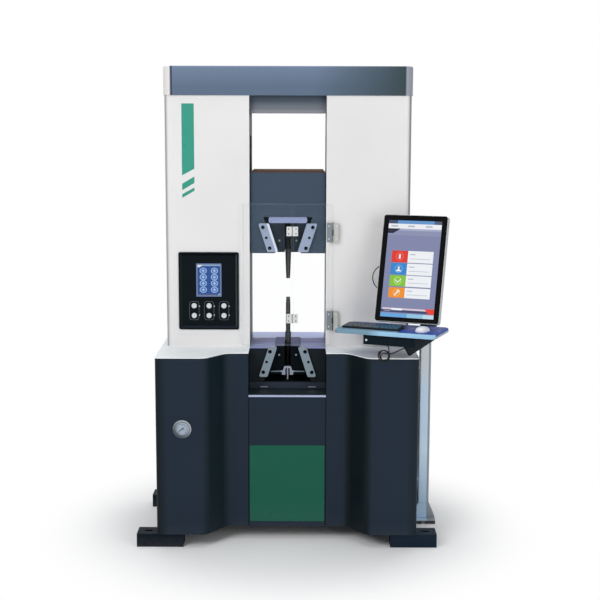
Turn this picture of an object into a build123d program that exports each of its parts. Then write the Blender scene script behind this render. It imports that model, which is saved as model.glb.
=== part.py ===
from build123d import *
import math
import os

# Universal testing machine: a hydraulic load frame on a base cabinet, with an operator console on a post.
# Millimetres. X to the right, the front faces -Y, Z up.
# The origin is on the floor, at the centre of the four foot slots.

# Main sizes
MACHINE_H = 2300.0        # floor to the top of the head cover
BASE_W = 1250.0           # over the two base covers
BASE_D = 740.0            # front bulges to rear panel
DECK_Z = 931.0            # floor to the top of the white deck
COL_INSET = 25.0          # column side inside the base side
COL_D = 332.0             # column cover, front to back
COL_REAR = 104.0          # from the column back to the base back
WINDOW_W = 375.0          # between the two columns
SHEET = 4.0               # folded sheet of the covers
RUN_GAP = 0.4             # between pieces that slide or turn past each other
SEAT_GAP = 0.3            # between pieces that are fitted and stay put

# Feet and the inner frame of the base
FOOT_H = 65.0
FOOT_OVER = 99.0          # outer end of a foot beyond the base side
FOOT_LAP = 125.0          # inner end of a foot inside the base side
FOOT_D = 100.0
FOOT_SETBACK = 10.0       # foot face behind the base front
SLOT_IN = 52.0            # slot centre from the foot's outer end
SLOT_L = 40.0
SLOT_W = 20.0
RAIL_W = 85.0
RAIL_H = 80.0
FLOOR_T = 8.0
BED_T = 267.0             # height of the cast bed
BED_INSET = 40.0          # bed end inside the column cover
TANK_W = 340.0
TANK_D = 220.0
TANK_R = 20.0
TANK_SHARE = 0.64         # tank height as a share of the room under the bed
MOTOR_X = -70.0
MOTOR_R = 75.0
MOTOR_SHARE = 0.27
PUMP_X = 80.0
PUMP_R = 48.0
PUMP_SHARE = 0.175

# Base covers
RECESS_D = 130.0          # centre of the base behind the bulges
WAVE_SHARE = 152.5 / 437.5  # middle of the wave, as a share of the base side
WAVE_ANGLE = 55.0         # slope of the wave in plan
WAVE_R = 60.0
BASE_CORNER_R = 16.0
DECK_T = 4.0
DECK_HOLE_RIM = 20.0      # deck left round the hole inside a column
CHEEK_GAP = 4.0           # inner cheek of a base cover ends this far in front of the bed

# Middle of the base: ledge, panel and green service panel
LEDGE_DROP = 204.0        # ledge below the deck
LEDGE_T = 16.0
NOSE_OUT = 6.0            # bright nosing in front of the recess face
SERVICE_W = 366.0
SERVICE_Z = 90.5
SERVICE_H = 383.0
SERVICE_PROUD = 2.0
SERVICE_R = 6.0

# Top cover and top beam
COVER_H = 140.0
COVER_PROUD = 5.0
COL_R = 36.0              # rounded upright corners of the columns
COVER_EDGE_R = 8.0
BEAM_H = 202.0
BEAM_D = 260.0
FLANGE_T = 16.0
FLANGE_PROUD = 6.0

# Guide columns and lift cylinders, hidden in the columns
GUIDE_SHARE = 112.5 / 412.5  # places across the column, as shares of its width
LIFT_SHARE = 262.5 / 412.5
GUIDE_R = 45.0
LIFT_BARREL_R = 55.0
LIFT_ROD_R = 40.0
LIFT_CLEAR = 15.0         # barrel top under the lowest arm
ROD_CLEAR = 14.0          # rod end over the barrel floor at its lowest

# Crosshead
HEAD_SHARE = 463.0 / 1163.0  # room below it, as a share of the window's height
HEAD_H = 396.0
HEAD_SETBACK = 20.0       # face behind the column front
HEAD_SIDE_GAP = 3.5
HEAD_CLEAR = 20.0         # cap plate to beam flange at the top of the travel
BREAK_CLEAR = 11.0        # between the bar's halves at the bottom of the travel
ARM_RISE = 86.0           # arm underside above the crosshead underside
ARM_H = 220.0
ARM_D = 150.0
ARM_SHARE = 332.5 / 412.5  # arm end, as a share of the column's width
ARM_SLOT_GAP = 5.0        # round an arm in its slot
CAP_T = 8.0               # primed plate on top
CAP_INSET = 8.0

# Wedge grips
WEDGE = 18.0              # slope of the wedge slots
GRIP_HALF = 63.0          # half the slot at its narrow end
SLOT_BACK = 70.0          # slot goes this far behind the load line
JAW_H = 143.0
JAW_PROUD = 7.0           # lower jaws stand above the block
JAW_LIFT = 4.0            # upper jaws above the crosshead underside
JAW_TRAVEL = 25.0         # how far the jaws draw back to open
HEAD_SLOT_H = 246.0
HEAD_MOUTH_H = 178.0      # open front of the upper slot
HEAD_LIP_T = 16.0         # front wall above the open front
UPPER_PLATE = dict(width=50.0, lap=17.0, length=148.0, bolt_out=9.0)   # retaining plate, lapping the slot edge
LOWER_PLATE = dict(width=40.0, lap=9.0, length=157.0, bolt_out=7.0)     # bolts sit outside its middle line
PLATE_T = 16.0
PLATE_R = 7.0
PLATE_PROUD = 9.0         # lower plates stand above the deck
BOLT_HEAD_R = 9.0
BOLT_MID_R = 6.5          # smaller bolt in the middle
BOLT_KEY_SHARE = 0.55
BOLT_SINK = 11.0
BOLT_PITCH = 54.0
YOKE_H = 30.0
YOKE_W = 190.0
YOKE_D = 60.0
STEM_R = 10.0
STEM_L = 130.0
BLOCK_FRONT = 50.0        # lower block in front of the column face
BLOCK_D = 300.0
LIP_H = 34.0
LIP_OUT = 6.0
LIP_RISE = 5.0
BLOCK_SLOT_H = 183.0
JAW_FACE = 24.0           # lower jaw face behind the block face
BAR_R = 6.0
BAR_L = 166.0
BAR_RISE = 64.0           # cross bar above the slot floor
HUB_W = 60.0
HUB_TOP_W = 32.0
HUB_H = 43.0
HUB_D = 18.0
HUB_R = 4.0
HUB_GROOVE = 16.0         # open front of the hub round the pull screw
HUB_BRIDGE = 9.0          # hub closed above the screw
PULL_R = 5.0
PULL_L = 24.0
TABLE_T = 16.0

# Broken test bar
TEST_R = 15.0             # gripped part
TEST_NECK_R = 11.5        # reduced part
TEST_END_R = 9.5          # at the break
TEST_TOP_SHARE = 141.0 / 463.0  # free length of each half, as a share of the room
TEST_LOW_SHARE = 226.0 / 463.0
TEST_SHOULDER = 46.0      # shoulder above the deck
TEST_TAPER = 34.0
TEST_GRIPPED = 125.0

# Clear folding guard
GUARD_RISE = 10.0         # guard above the deck
GUARD_SHARE = 697.0 / 1163.0  # guard height, as a share of the window's height
GUARD_T = 6.0
GUARD_GAP = 9.0           # behind the sheet, to the column face
GUARD_LAP = 40.5          # sheet over the left column
FOLD_X = 22.0             # fold line
HINGE_LAP = 32.5          # hinge pin over the right column
GUARD_EDGE = 8.0          # sheet edge to hinge pin
STEEL_HINGE = dict(height=94.0, leaf=28.5, barrel=6.0, pin=3.0, shares=(124.0 / 697.0, 559.0 / 697.0))
FOLD_HINGE = dict(height=46.0, leaf=28.0, barrel=4.0, pin=2.0, shares=(133.0 / 697.0, 564.0 / 697.0))
LEAF_T = 4.0
FOLD_GAP = 5.0            # sheet edge to fold line
SPACER_IN = 10.0          # spacer block from the pin

# Control panel
PANEL_SHARE = 296.0 / 412.5  # panel width, as a share of the column's width
PANEL_OFF = 4.75          # panel middle nearer to the window than the column's middle
PANEL_RISE = 277.5        # panel middle above the deck
PANEL_H = 384.0
PANEL_RIM = 8.0
PANEL_PROUD = 6.0
PANEL_SINK = 12.0         # floor behind the rim face
PANEL_BODY_IN = 12.0      # body inside the rim outline
PANEL_BODY_D = 34.0
PANEL_TAPER = 35.0
PANEL_R = 9.0
SCREEN_W = 125.0
SCREEN_H = 165.0
SCREEN_RISE = 53.0        # screen middle above the panel's middle
SCREEN_T = 5.0
SCREEN_PROUD = 1.5
BUTTON_R = 13.0
BUTTON_PITCH_X = 73.5
BUTTON_DROPS = (124.0, 75.0)  # button rows below the panel's middle
BUTTON_PROUD = 5.0
BUTTON_L = 17.0
BUTTON_TRAVEL = 4.0
BUTTON_EDGE = 2.0

# Pressure gauge
GAUGE_SHARE = 310.5 / 437.5  # gauge, as a share of the base side
GAUGE_DROP = 344.5        # gauge below the deck
GAUGE_FLANGE_R = 44.0
GAUGE_FLANGE_T = 5.0
GAUGE_RING_R = 36.0
GAUGE_RING_T = 7.0
GAUGE_BODY_R = 34.0
GAUGE_BODY_D = 40.0
GAUGE_DIAL_R = 29.0
GAUGE_SINK = 10.0
GAUGE_GLASS_T = 2.0
NEEDLE_L = 22.0
NEEDLE_W = 4.8
NEEDLE_T = 1.2
NEEDLE_HUB_R = 4.0
NEEDLE_PIN_R = 1.4
NEEDLE_REST = -127.0      # clockwise from straight up: just over the zero mark
NEEDLE_LIFT = 2.0

# Console post
POST_GAP = 70.4           # post's middle beyond the base side
POST_AHEAD = 50.0         # post's middle in front of the load line
POST_W = 56.0
POST_R = 7.0
POST_RISE = 19.0          # post top above the deck
PAD_H = 16.0
PAD_W = 50.0
FOOT_PLATE = 119.0
FOOT_PLATE_T = 12.0
GUSSET_H = 74.0
GUSSET_T = 6.0
SPIGOT_R = 21.0
TIE_RISES = (220.0, 800.0)  # brackets from the post to the base, above the floor
TIE_W = 40.0
TIE_T = 10.0
TIE_PAD_H = 80.0

# Console arm, turned on the post; its own frame has -Y towards the operator
CONSOLE_YAW = -22.5
SLEEVE_R = 28.0
SLEEVE_L = 440.0
SLEEVE_CAP = 6.0
ARM_X = 27.5              # monitor arm to the right of the post's middle
WEB_X = 54.0              # tray web to the right of the post's middle
WEB_T = 8.0
WEB_BACK = 30.0           # web's back end in front of the post's middle
WEB_DROP = 92.0           # web underside at its back end, below the tray
WEB_TIP_FWD = 445.0       # lowest point of the web
WEB_TIP_DROP = 101.0
HEEL_FWD = 70.0           # block between sleeve and web
HEEL_DROP = 70.0
APRON_FWD = 520.0
APRON_LEFT = -149.0
APRON_RIGHT = 104.0
APRON_H = 47.0
BRACKET_BACK = 380.0
ARM_BAR_W = 36.0
ARM_BAR_H = 44.0
EAR_T = 8.0
EAR_R = 15.0
TILT_PIN_R = 5.0

# Tray, keyboard and mouse
TRAY_LEFT = -291.0
TRAY_RIGHT = 203.0
TRAY_FRONT = 535.0
TRAY_BACK = 285.0
TRAY_RISE = 136.0         # tray top above the deck
TRAY_T = 20.0
TRAY_R = 22.0
TRAY_NOSE_R = 8.0
KEYS_LEFT = -268.0
KEYS_W = 284.0
KEYS_FRONT = 495.0
KEYS_D = 100.0
KEYS_LOW_H = 8.0
KEYS_HIGH_H = 13.0
KEYS_R = 6.0
KEY_ROWS = 5
KEY_COLS = 15
KEY_GAP = 3.0
KEY_H = 4.0
KEYS_RIM = 7.0
MOUSE_X = 120.0
MOUSE_FWD = 455.0
MOUSE_L = 90.0
MOUSE_W = 58.0
MOUSE_H = 26.0
MOUSE_TURN = 8.0

# Monitor, stood upright on its tilt hinge
MON_W = 317.0
MON_H = 515.0
MON_T = 41.0
MON_R = 13.0
MON_BACK_EDGE = 10.0
MON_FWD = 351.8           # middle of the front face
MON_RISE = 279.7          # middle of the front face above the tray
MON_LEAN = 15.0
GLASS_RIM = 2.0           # glass inside the case outline
GLASS_T = 2.0
LUG_OUT = 25.0            # tilt pin behind the monitor's back
LUG_W = 34.0

# Loose leads of the console
LEAD_R = 2.5
COIL_R = 26.0
COIL_TUBE_R = 6.0
COIL_AT = (-44.0, -521.0, -94.0)   # all heights of the leads from the tray's underside
HANG_ROUTE = [(49.0, -470.0, -56.0), (30.0, -482.0, -64.0), (10.0, -497.0, -75.0), (-14.0, -516.0, -86.0)]
LOOP_ROUTE = [(9.5, -200.0, 284.0), (-60.0, -213.0, 311.0), (-130.0, -232.0, 312.0), (-186.0, -249.0, 281.0),
              (-202.0, -253.0, 236.0), (-189.0, -246.0, 191.0), (-142.0, -226.0, 158.0), (-66.0, -190.0, 158.0),
              (-8.0, -160.0, 205.0), (16.0, -142.0, 263.0)]

# Worked out from the sizes above
BASE_FRONT = -BASE_D / 2
BASE_BACK = BASE_D / 2
RECESS_Y = BASE_FRONT + RECESS_D
COL_W = BASE_W - 2 * COL_INSET
COL_BACK = BASE_BACK - COL_REAR
COL_FRONT = COL_BACK - COL_D
CHEEK_D = COL_FRONT - CHEEK_GAP - RECESS_Y
LOAD_Y = (COL_FRONT + COL_BACK) / 2
COVER_Z = MACHINE_H - COVER_H
BEAM_Z = MACHINE_H - SHEET - BEAM_H
BED_TOP = DECK_Z - DECK_T
BED_Z = BED_TOP - BED_T
LEDGE_Z = DECK_Z - LEDGE_DROP
WIN = WINDOW_W / 2
SIDE_W = BASE_W / 2 - WIN
COL_FACE = COL_W / 2 - WIN
WINDOW_H = BEAM_Z - DECK_Z
FOOT_OUT = BASE_W / 2 + FOOT_OVER
FOOT_IN = BASE_W / 2 - FOOT_LAP
SLOT_X = FOOT_OUT - SLOT_IN
WAVE_MID = WIN + WAVE_SHARE * SIDE_W
GUIDE_X = WIN + GUIDE_SHARE * COL_FACE
LIFT_X = WIN + LIFT_SHARE * COL_FACE
ARM_OUT = WIN + ARM_SHARE * COL_FACE
TEST_SPACE = HEAD_SHARE * WINDOW_H
HEAD_Z = DECK_Z + TEST_SPACE
HEAD_UP = BEAM_Z - FLANGE_T - HEAD_CLEAR - (HEAD_Z + HEAD_H + CAP_T)
TEST_TOP_END = HEAD_Z - TEST_TOP_SHARE * TEST_SPACE
TEST_LOW_END = DECK_Z + TEST_LOW_SHARE * TEST_SPACE
TEST_LOW_SHOULDER = DECK_Z + TEST_SHOULDER
HEAD_DOWN = TEST_TOP_END - TEST_LOW_END - BREAK_CLEAR
HEAD_HALF = WIN - HEAD_SIDE_GAP
HEAD_FRONT = COL_FRONT + HEAD_SETBACK
HEAD_BACK = 2 * LOAD_Y - HEAD_FRONT
ARM_Z = HEAD_Z + ARM_RISE
LIFT_TOP = ARM_Z - HEAD_DOWN - LIFT_CLEAR
LIFT_ROD_LOW = BED_TOP + SHEET + HEAD_DOWN + ROD_CLEAR
BLOCK_Y = COL_FRONT - BLOCK_FRONT
BLOCK_BACK = BLOCK_Y + BLOCK_D
BLOCK_HALF = WIN - 4 * SEAT_GAP
SLOPE = math.tan(math.radians(WEDGE))
GUARD_FRONT = COL_FRONT - GUARD_GAP - GUARD_T
HINGE_Y = GUARD_FRONT - LEAF_T / 2
GUARD_Z = DECK_Z + GUARD_RISE
GUARD_H = GUARD_SHARE * WINDOW_H
GUARD_LEFT = -WIN - GUARD_LAP
GUARD_HINGE_X = WIN + HINGE_LAP
PANEL_W = PANEL_SHARE * COL_FACE
PANEL_X = PANEL_OFF - WIN - COL_FACE / 2
PANEL_Z = DECK_Z + PANEL_RISE
SCREEN_Z = PANEL_Z + SCREEN_RISE
BUTTON_Z = [PANEL_Z - drop for drop in BUTTON_DROPS]
GAUGE_X = -WIN - GAUGE_SHARE * SIDE_W
GAUGE_Z = DECK_Z - GAUGE_DROP
PANEL_FACE = COL_FRONT - PANEL_PROUD
PANEL_FLOOR = PANEL_FACE + PANEL_SINK
POST_X = BASE_W / 2 + POST_GAP
POST_Y = LOAD_Y - POST_AHEAD
POST_TOP = DECK_Z + POST_RISE
SLEEVE_TOP = POST_TOP + SLEEVE_L
TRAY_Z = DECK_Z + TRAY_RISE
TRAY_LOW = TRAY_Z - TRAY_T
MON_Z = TRAY_Z + MON_RISE
CONSOLE = Pos(POST_X, POST_Y, 0) * Rot(0, 0, CONSOLE_YAW)
MONITOR = CONSOLE * Pos(ARM_X, -MON_FWD, MON_Z) * Rot(-MON_LEAN, 0, 0)
LEAN = math.radians(MON_LEAN)
TILT_FWD = MON_FWD - (MON_T + LUG_OUT) * math.cos(LEAN)
TILT_Z = MON_Z - (MON_T + LUG_OUT) * math.sin(LEAN)
LEADS = CONSOLE * Pos(0, 0, TRAY_LOW)


def block(x, y, z):
    """A box between three pairs of low and high values."""
    middle = [(low + high) / 2 for low, high in (x, y, z)]
    size = [high - low for low, high in (x, y, z)]
    return Pos(*middle) * Box(*size)


def span(side, near, far):
    """Low and high X of a stretch on the left (-1) or right (+1) of the machine."""
    return tuple(sorted((side * near, side * far)))


def rod_z(x, y, z, radius):
    """An upright round bar between two heights."""
    return Pos(x, y, sum(z) / 2) * Cylinder(radius, z[1] - z[0])


def rod_x(x, y, z, radius):
    """A round bar along X between two values."""
    return Pos(sum(x) / 2, y, z) * Rot(0, 90, 0) * Cylinder(radius, x[1] - x[0])


def rod_y(x, y, z, radius):
    """A round bar along Y between two values."""
    return Pos(x, sum(y) / 2, z) * Rot(90, 0, 0) * Cylinder(radius, y[1] - y[0])


def outline(points, radii):
    """A face inside a closed outline with one corner radius per point."""
    return make_face(FilletPolyline(*points, radius=radii, close=True))


def rise(face, z):
    """A plan face made solid between two heights."""
    return Pos(0, 0, z[0]) * extrude(face, amount=z[1] - z[0], dir=(0, 0, 1))


def front_prism(points, radii, y):
    """A front outline of X and Z points made solid between two Y values."""
    face = outline([(px, y[0], pz) for px, pz in points], radii)
    return extrude(face, amount=y[1] - y[0], dir=(0, 1, 0))


def side_prism(points, radii, x):
    """A side outline of Y and Z points made solid between two X values."""
    face = outline([(x[0], py, pz) for py, pz in points], radii)
    return extrude(face, amount=x[1] - x[0], dir=(1, 0, 0))


def rounded_plan(x, y, z, radius):
    """An upright block with four rounded corners."""
    points = [(x[0], y[0]), (x[1], y[0]), (x[1], y[1]), (x[0], y[1])]
    return rise(outline(points, [radius] * 4), z)


def rounded_front(x, y, z, radius):
    """A plate in the front plane with four rounded corners."""
    points = [(x[0], z[0]), (x[1], z[0]), (x[1], z[1]), (x[0], z[1])]
    return front_prism(points, [radius] * 4, y)


# Feet and base

def foot(side, end):
    """One foot bar with its anchor slot; end is -1 at the front."""
    outer = abs(BASE_FRONT) - FOOT_SETBACK
    y = tuple(sorted((end * outer, end * (outer - FOOT_D))))
    bar = block(span(side, FOOT_IN, FOOT_OUT), y, (0, FOOT_H))
    slot = Pos(side * SLOT_X, sum(y) / 2, 0) * SlotOverall(SLOT_L, SLOT_W)
    return bar - extrude(slot, amount=FOOT_H, dir=(0, 0, 1))


def base_frame():
    """Floor rails, legs and floor plate under the cast bed, with the pocket of the lower grip."""
    reach = abs(BASE_FRONT) - FOOT_SETBACK - SHEET
    rail_z = (FOOT_H, FOOT_H + RAIL_H)
    frame = block((-COL_W / 2 + BED_INSET, COL_W / 2 - BED_INSET), (COL_FRONT, COL_BACK), (BED_Z, BED_TOP))
    for side in (-1, 1):
        x = span(side, FOOT_IN, FOOT_IN + RAIL_W)
        frame += block(x, (-reach, reach), rail_z)
        for y in (COL_FRONT, COL_BACK - RAIL_W):
            frame += block(x, (y, y + RAIL_W), (rail_z[1], BED_Z))
    frame += block((-FOOT_IN, FOOT_IN), (COL_FRONT, COL_BACK), (rail_z[1] - FLOOR_T, rail_z[1]))
    pocket_half = BLOCK_HALF + SEAT_GAP
    frame -= block((-pocket_half, pocket_half), (COL_FRONT - 1, COL_BACK + 1), (LEDGE_Z, DECK_Z))
    return frame


def base_plan(side, back):
    """Plan of one half of the base: bulge, wave and recess along its front."""
    half_run = RECESS_D / math.tan(math.radians(WAVE_ANGLE)) / 2
    points = [(WIN, back), (WIN, RECESS_Y), (WAVE_MID - half_run, RECESS_Y),
              (WAVE_MID + half_run, BASE_FRONT), (BASE_W / 2, BASE_FRONT), (BASE_W / 2, back)]
    radii = [0, 0, WAVE_R, WAVE_R, BASE_CORNER_R, 0]
    return outline([(side * px, py) for px, py in points], radii)


def base_cover(side):
    """Sheet cover of one side of the base, open at its back, top and bottom."""
    plan = base_plan(side, BASE_BACK - SHEET)
    z = (FOOT_H, BED_TOP)
    cover = rise(plan, z) - rise(offset(plan, amount=-SHEET, kind=Kind.INTERSECTION), z)
    back_wall = (BASE_BACK - 3 * SHEET, BASE_BACK)
    cover -= block(span(side, WIN - 1, BASE_W / 2 - SHEET), back_wall, z)
    cover -= block(span(side, WIN - 1, WIN + 2 * SHEET), (RECESS_Y + CHEEK_D, BASE_BACK), z)
    if side < 0:
        cover -= rod_y(GAUGE_X, (BASE_FRONT - 1, BASE_FRONT + 2 * SHEET), GAUGE_Z, GAUGE_BODY_R + SEAT_GAP)
    return cover


def deck(side):
    """White deck plate over one side of the base, open inside the column."""
    plate = rise(base_plan(side, BASE_BACK), (BED_TOP, DECK_Z))
    rim = DECK_HOLE_RIM
    hole = block(span(side, WIN + rim, COL_W / 2 - rim), (COL_FRONT + rim, COL_BACK - rim), (BED_TOP, DECK_Z))
    return plate - hole


def rear_panel():
    """Flat panel across the back of the base."""
    return block((-BASE_W / 2, BASE_W / 2), (BASE_BACK - SHEET, BASE_BACK), (FOOT_H, BED_TOP))


def centre_panel():
    """Panel between the base covers, with the opening of the service panel."""
    half = WIN - SEAT_GAP
    panel = block((-half, half), (RECESS_Y, RECESS_Y + SHEET), (FOOT_H, LEDGE_Z - LEDGE_T))
    hole = SERVICE_W / 2 + SEAT_GAP
    low = SERVICE_Z - SEAT_GAP
    high = SERVICE_Z + SERVICE_H + SEAT_GAP
    return panel - rounded_front((-hole, hole), (RECESS_Y - 1, RECESS_Y + 2 * SHEET), (low, high), SERVICE_R)


def service_panel():
    """Green lift-out panel with rounded corners."""
    half = SERVICE_W / 2
    z = (SERVICE_Z, SERVICE_Z + SERVICE_H)
    panel = rounded_front((-half, half), (RECESS_Y - SERVICE_PROUD, RECESS_Y + SHEET), z, SERVICE_R)
    return chamfer(panel.faces().sort_by(Axis.Y)[0].edges(), SERVICE_PROUD / 2)


def table_ledge():
    """Ledge in front of the lower grip, with a rounded bright nosing."""
    half = WIN - SEAT_GAP
    front = RECESS_Y - NOSE_OUT
    nose = LEDGE_T * 0.45
    points = [(front, LEDGE_Z - LEDGE_T), (COL_FRONT, LEDGE_Z - LEDGE_T), (COL_FRONT, LEDGE_Z), (front, LEDGE_Z)]
    return side_prism(points, [nose, 0, 0, nose], (-half, half))


def power_pack():
    """Oil tank with its motor and pump on the floor plate of the base."""
    floor = FOOT_H + RAIL_H
    room = BED_Z - floor
    lid = floor + TANK_SHARE * room
    tank = rounded_plan((-TANK_W / 2, TANK_W / 2), (LOAD_Y - TANK_D / 2, LOAD_Y + TANK_D / 2), (floor, lid), TANK_R)
    motor = rod_z(MOTOR_X, LOAD_Y, (lid, lid + MOTOR_SHARE * room), MOTOR_R)
    pump = rod_z(PUMP_X, LOAD_Y, (lid, lid + PUMP_SHARE * room), PUMP_R)
    return Compound([tank, motor, pump])


# Columns and top

def column_cover(side):
    """White sheet cover of one column, open towards the test space."""
    points = [(WIN, COL_FRONT), (COL_W / 2, COL_FRONT), (COL_W / 2, COL_BACK), (WIN, COL_BACK)]
    inner = [(WIN - 1, COL_FRONT + SHEET), (COL_W / 2 - SHEET, COL_FRONT + SHEET),
             (COL_W / 2 - SHEET, COL_BACK - SHEET), (WIN - 1, COL_BACK - SHEET)]
    radii = [0, COL_R, COL_R, 0]
    inner_radii = [0, COL_R - SHEET, COL_R - SHEET, 0]
    z = (DECK_Z, COVER_Z)
    cover = rise(outline([(side * px, py) for px, py in points], radii), z)
    cover -= rise(outline([(side * px, py) for px, py in inner], inner_radii), z)
    if side < 0:
        half_w = PANEL_W / 2 - PANEL_BODY_IN + SEAT_GAP
        half_h = PANEL_H / 2 - PANEL_BODY_IN + SEAT_GAP
        cover -= block((PANEL_X - half_w, PANEL_X + half_w), (COL_FRONT - 1, COL_FRONT + 2 * SHEET),
                       (PANEL_Z - half_h, PANEL_Z + half_h))
    return cover


def inner_strip(side):
    """Dark inner wall of a column with the slot of the crosshead arm."""
    x = span(side, WIN, WIN + SHEET)
    wall = block(x, (COL_FRONT + SHEET, COL_BACK - SHEET), (DECK_Z, BEAM_Z))
    half = ARM_D / 2 + ARM_SLOT_GAP
    z = (ARM_Z - HEAD_DOWN - ARM_SLOT_GAP, ARM_Z + ARM_H + HEAD_UP + ARM_SLOT_GAP)
    return wall - block(x, (LOAD_Y - half, LOAD_Y + half), z)


def top_beam():
    """Deep beam across the guide columns, with a flange in the window."""
    x = COL_W / 2 - BED_INSET
    half = BEAM_D / 2
    beam = block((-x, x), (LOAD_Y - half, LOAD_Y + half), (BEAM_Z, MACHINE_H - SHEET))
    reach = half + FLANGE_PROUD
    flange_half = WIN - HEAD_SIDE_GAP
    return beam + block((-flange_half, flange_half), (LOAD_Y - reach, LOAD_Y + reach), (BEAM_Z - FLANGE_T, BEAM_Z))


def top_cover():
    """Head cover: a shell with rounded corners, open below."""
    x = COL_W / 2 + COVER_PROUD
    y = (COL_FRONT - COVER_PROUD, COL_BACK + COVER_PROUD)
    radius = COL_R + COVER_PROUD
    cover = rounded_plan((-x, x), y, (COVER_Z, MACHINE_H), radius)
    cover = fillet(cover.faces().sort_by(Axis.Z)[-1].edges(), COVER_EDGE_R)
    x -= SHEET
    cavity = rounded_plan((-x, x), (y[0] + SHEET, y[1] - SHEET), (COVER_Z, MACHINE_H - SHEET), radius - SHEET)
    return cover - cavity


def guide_columns():
    """Two ground guide columns between bed and top beam."""
    return Compound([rod_z(side * GUIDE_X, LOAD_Y, (BED_TOP, BEAM_Z), GUIDE_R) for side in (-1, 1)])


def lift_cylinders():
    """Two hydraulic barrels on the bed."""
    barrels = []
    for side in (-1, 1):
        barrel = rod_z(side * LIFT_X, LOAD_Y, (BED_TOP, LIFT_TOP), LIFT_BARREL_R)
        bore = (BED_TOP + SHEET, LIFT_TOP)
        barrels.append(barrel - rod_z(side * LIFT_X, LOAD_Y, bore, LIFT_ROD_R + RUN_GAP))
    return Compound(barrels)


def lift_rods():
    """Two piston rods under the crosshead arms."""
    return Compound([rod_z(side * LIFT_X, LOAD_Y, (LIFT_ROD_LOW, ARM_Z), LIFT_ROD_R) for side in (-1, 1)])


# Crosshead and wedge grips

def wedge_slot(z_narrow, z_wide, y):
    """Slot that widens from its narrow end at the wedge's slope."""
    wide = GRIP_HALF + abs(z_wide - z_narrow) * SLOPE
    points = [(-GRIP_HALF, z_narrow), (GRIP_HALF, z_narrow), (wide, z_wide), (-wide, z_wide)]
    return front_prism(points, [0] * 4, y)


def crosshead_body():
    """Block with the upper wedge slot and an arm to each side, bored for its guide column."""
    z = (HEAD_Z, HEAD_Z + HEAD_H)
    body = block((-HEAD_HALF, HEAD_HALF), (HEAD_FRONT, HEAD_BACK), z)
    arm_y = (LOAD_Y - ARM_D / 2, LOAD_Y + ARM_D / 2)
    body += block((-ARM_OUT, ARM_OUT), arm_y, (ARM_Z, ARM_Z + ARM_H))
    for side in (-1, 1):
        body -= rod_z(side * GUIDE_X, LOAD_Y, (ARM_Z, ARM_Z + ARM_H), GUIDE_R + RUN_GAP)
    back = LOAD_Y + SLOT_BACK
    body -= wedge_slot(HEAD_Z, HEAD_Z + HEAD_SLOT_H, (HEAD_FRONT + HEAD_LIP_T, back))
    body -= wedge_slot(HEAD_Z, HEAD_Z + HEAD_MOUTH_H, (HEAD_FRONT, HEAD_FRONT + HEAD_LIP_T))
    stem_y = HEAD_FRONT + HEAD_LIP_T + YOKE_D / 2
    stem_top = HEAD_Z + JAW_LIFT + JAW_H + YOKE_H + STEM_L + JAW_TRAVEL
    return body - rod_z(0, stem_y, (HEAD_Z + HEAD_SLOT_H, stem_top + RUN_GAP), STEM_R + RUN_GAP)


def crosshead_top_plate():
    """Primed plate on top of the crosshead."""
    x = HEAD_HALF - CAP_INSET
    z = HEAD_Z + HEAD_H
    return block((-x, x), (HEAD_FRONT + CAP_INSET, HEAD_BACK - CAP_INSET), (z, z + CAP_T))


def jaw(side, z_tip, z_base, narrow_z, y):
    """Wedge jaw: upright gripping face, sloping back along the slot wall."""
    clear = RUN_GAP / math.cos(math.radians(WEDGE))
    face = TEST_R + RUN_GAP
    tip = GRIP_HALF + abs(z_tip - narrow_z) * SLOPE * math.copysign(1, (z_tip - narrow_z) * (z_base - z_tip))
    base = GRIP_HALF + abs(z_base - narrow_z) * SLOPE
    points = [(face, z_tip), (tip - clear, z_tip), (base - clear, z_base), (face, z_base)]
    return front_prism([(side * px, pz) for px, pz in points], [0] * 4, y)


def upper_jaw(side):
    """Jaw of the upper grip."""
    low = HEAD_Z + JAW_LIFT
    y = (HEAD_FRONT + HEAD_LIP_T + RUN_GAP, LOAD_Y + SLOT_BACK - RUN_GAP)
    return jaw(side, low, low + JAW_H, HEAD_Z, y)


def lower_jaw(side):
    """Jaw of the lower grip, standing a little above the block."""
    top = DECK_Z + JAW_PROUD
    return jaw(side, top, top - JAW_H, DECK_Z, (BLOCK_Y + JAW_FACE, LOAD_Y + SLOT_BACK - RUN_GAP))


def upper_yoke():
    """Cross bar over the upper jaws, with its pull stem."""
    low = HEAD_Z + JAW_LIFT + JAW_H + RUN_GAP
    y = (HEAD_FRONT + HEAD_LIP_T + RUN_GAP, HEAD_FRONT + HEAD_LIP_T + YOKE_D)
    bar = rounded_front((-YOKE_W / 2, YOKE_W / 2), y, (low, low + YOKE_H), YOKE_H / 3)
    stem_y = HEAD_FRONT + HEAD_LIP_T + YOKE_D / 2
    return bar + rod_z(0, stem_y, (low + YOKE_H / 2, low + YOKE_H + STEM_L), STEM_R)


def lower_yoke():
    """T-bar in front of the lower jaws: hub, cross bar and pull screw."""
    face = BLOCK_Y + JAW_FACE - RUN_GAP
    bar_z = DECK_Z - BLOCK_SLOT_H + BAR_RISE
    low, high = bar_z - HUB_H / 3, bar_z + HUB_H * 2 / 3
    middle = face - HUB_D / 2
    points = [(-HUB_W / 2, low), (HUB_W / 2, low), (HUB_TOP_W / 2, high), (-HUB_TOP_W / 2, high)]
    hub = front_prism(points, [HUB_R] * 4, (face - HUB_D, face))
    hub += rod_x((-BAR_L / 2, BAR_L / 2), middle, bar_z, BAR_R)
    hub -= block((-HUB_GROOVE / 2, HUB_GROOVE / 2), (face - HUB_D, middle), (low, high - HUB_BRIDGE))
    return hub + rod_z(0, middle, (low - PULL_L, high - HUB_BRIDGE), PULL_R)


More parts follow.
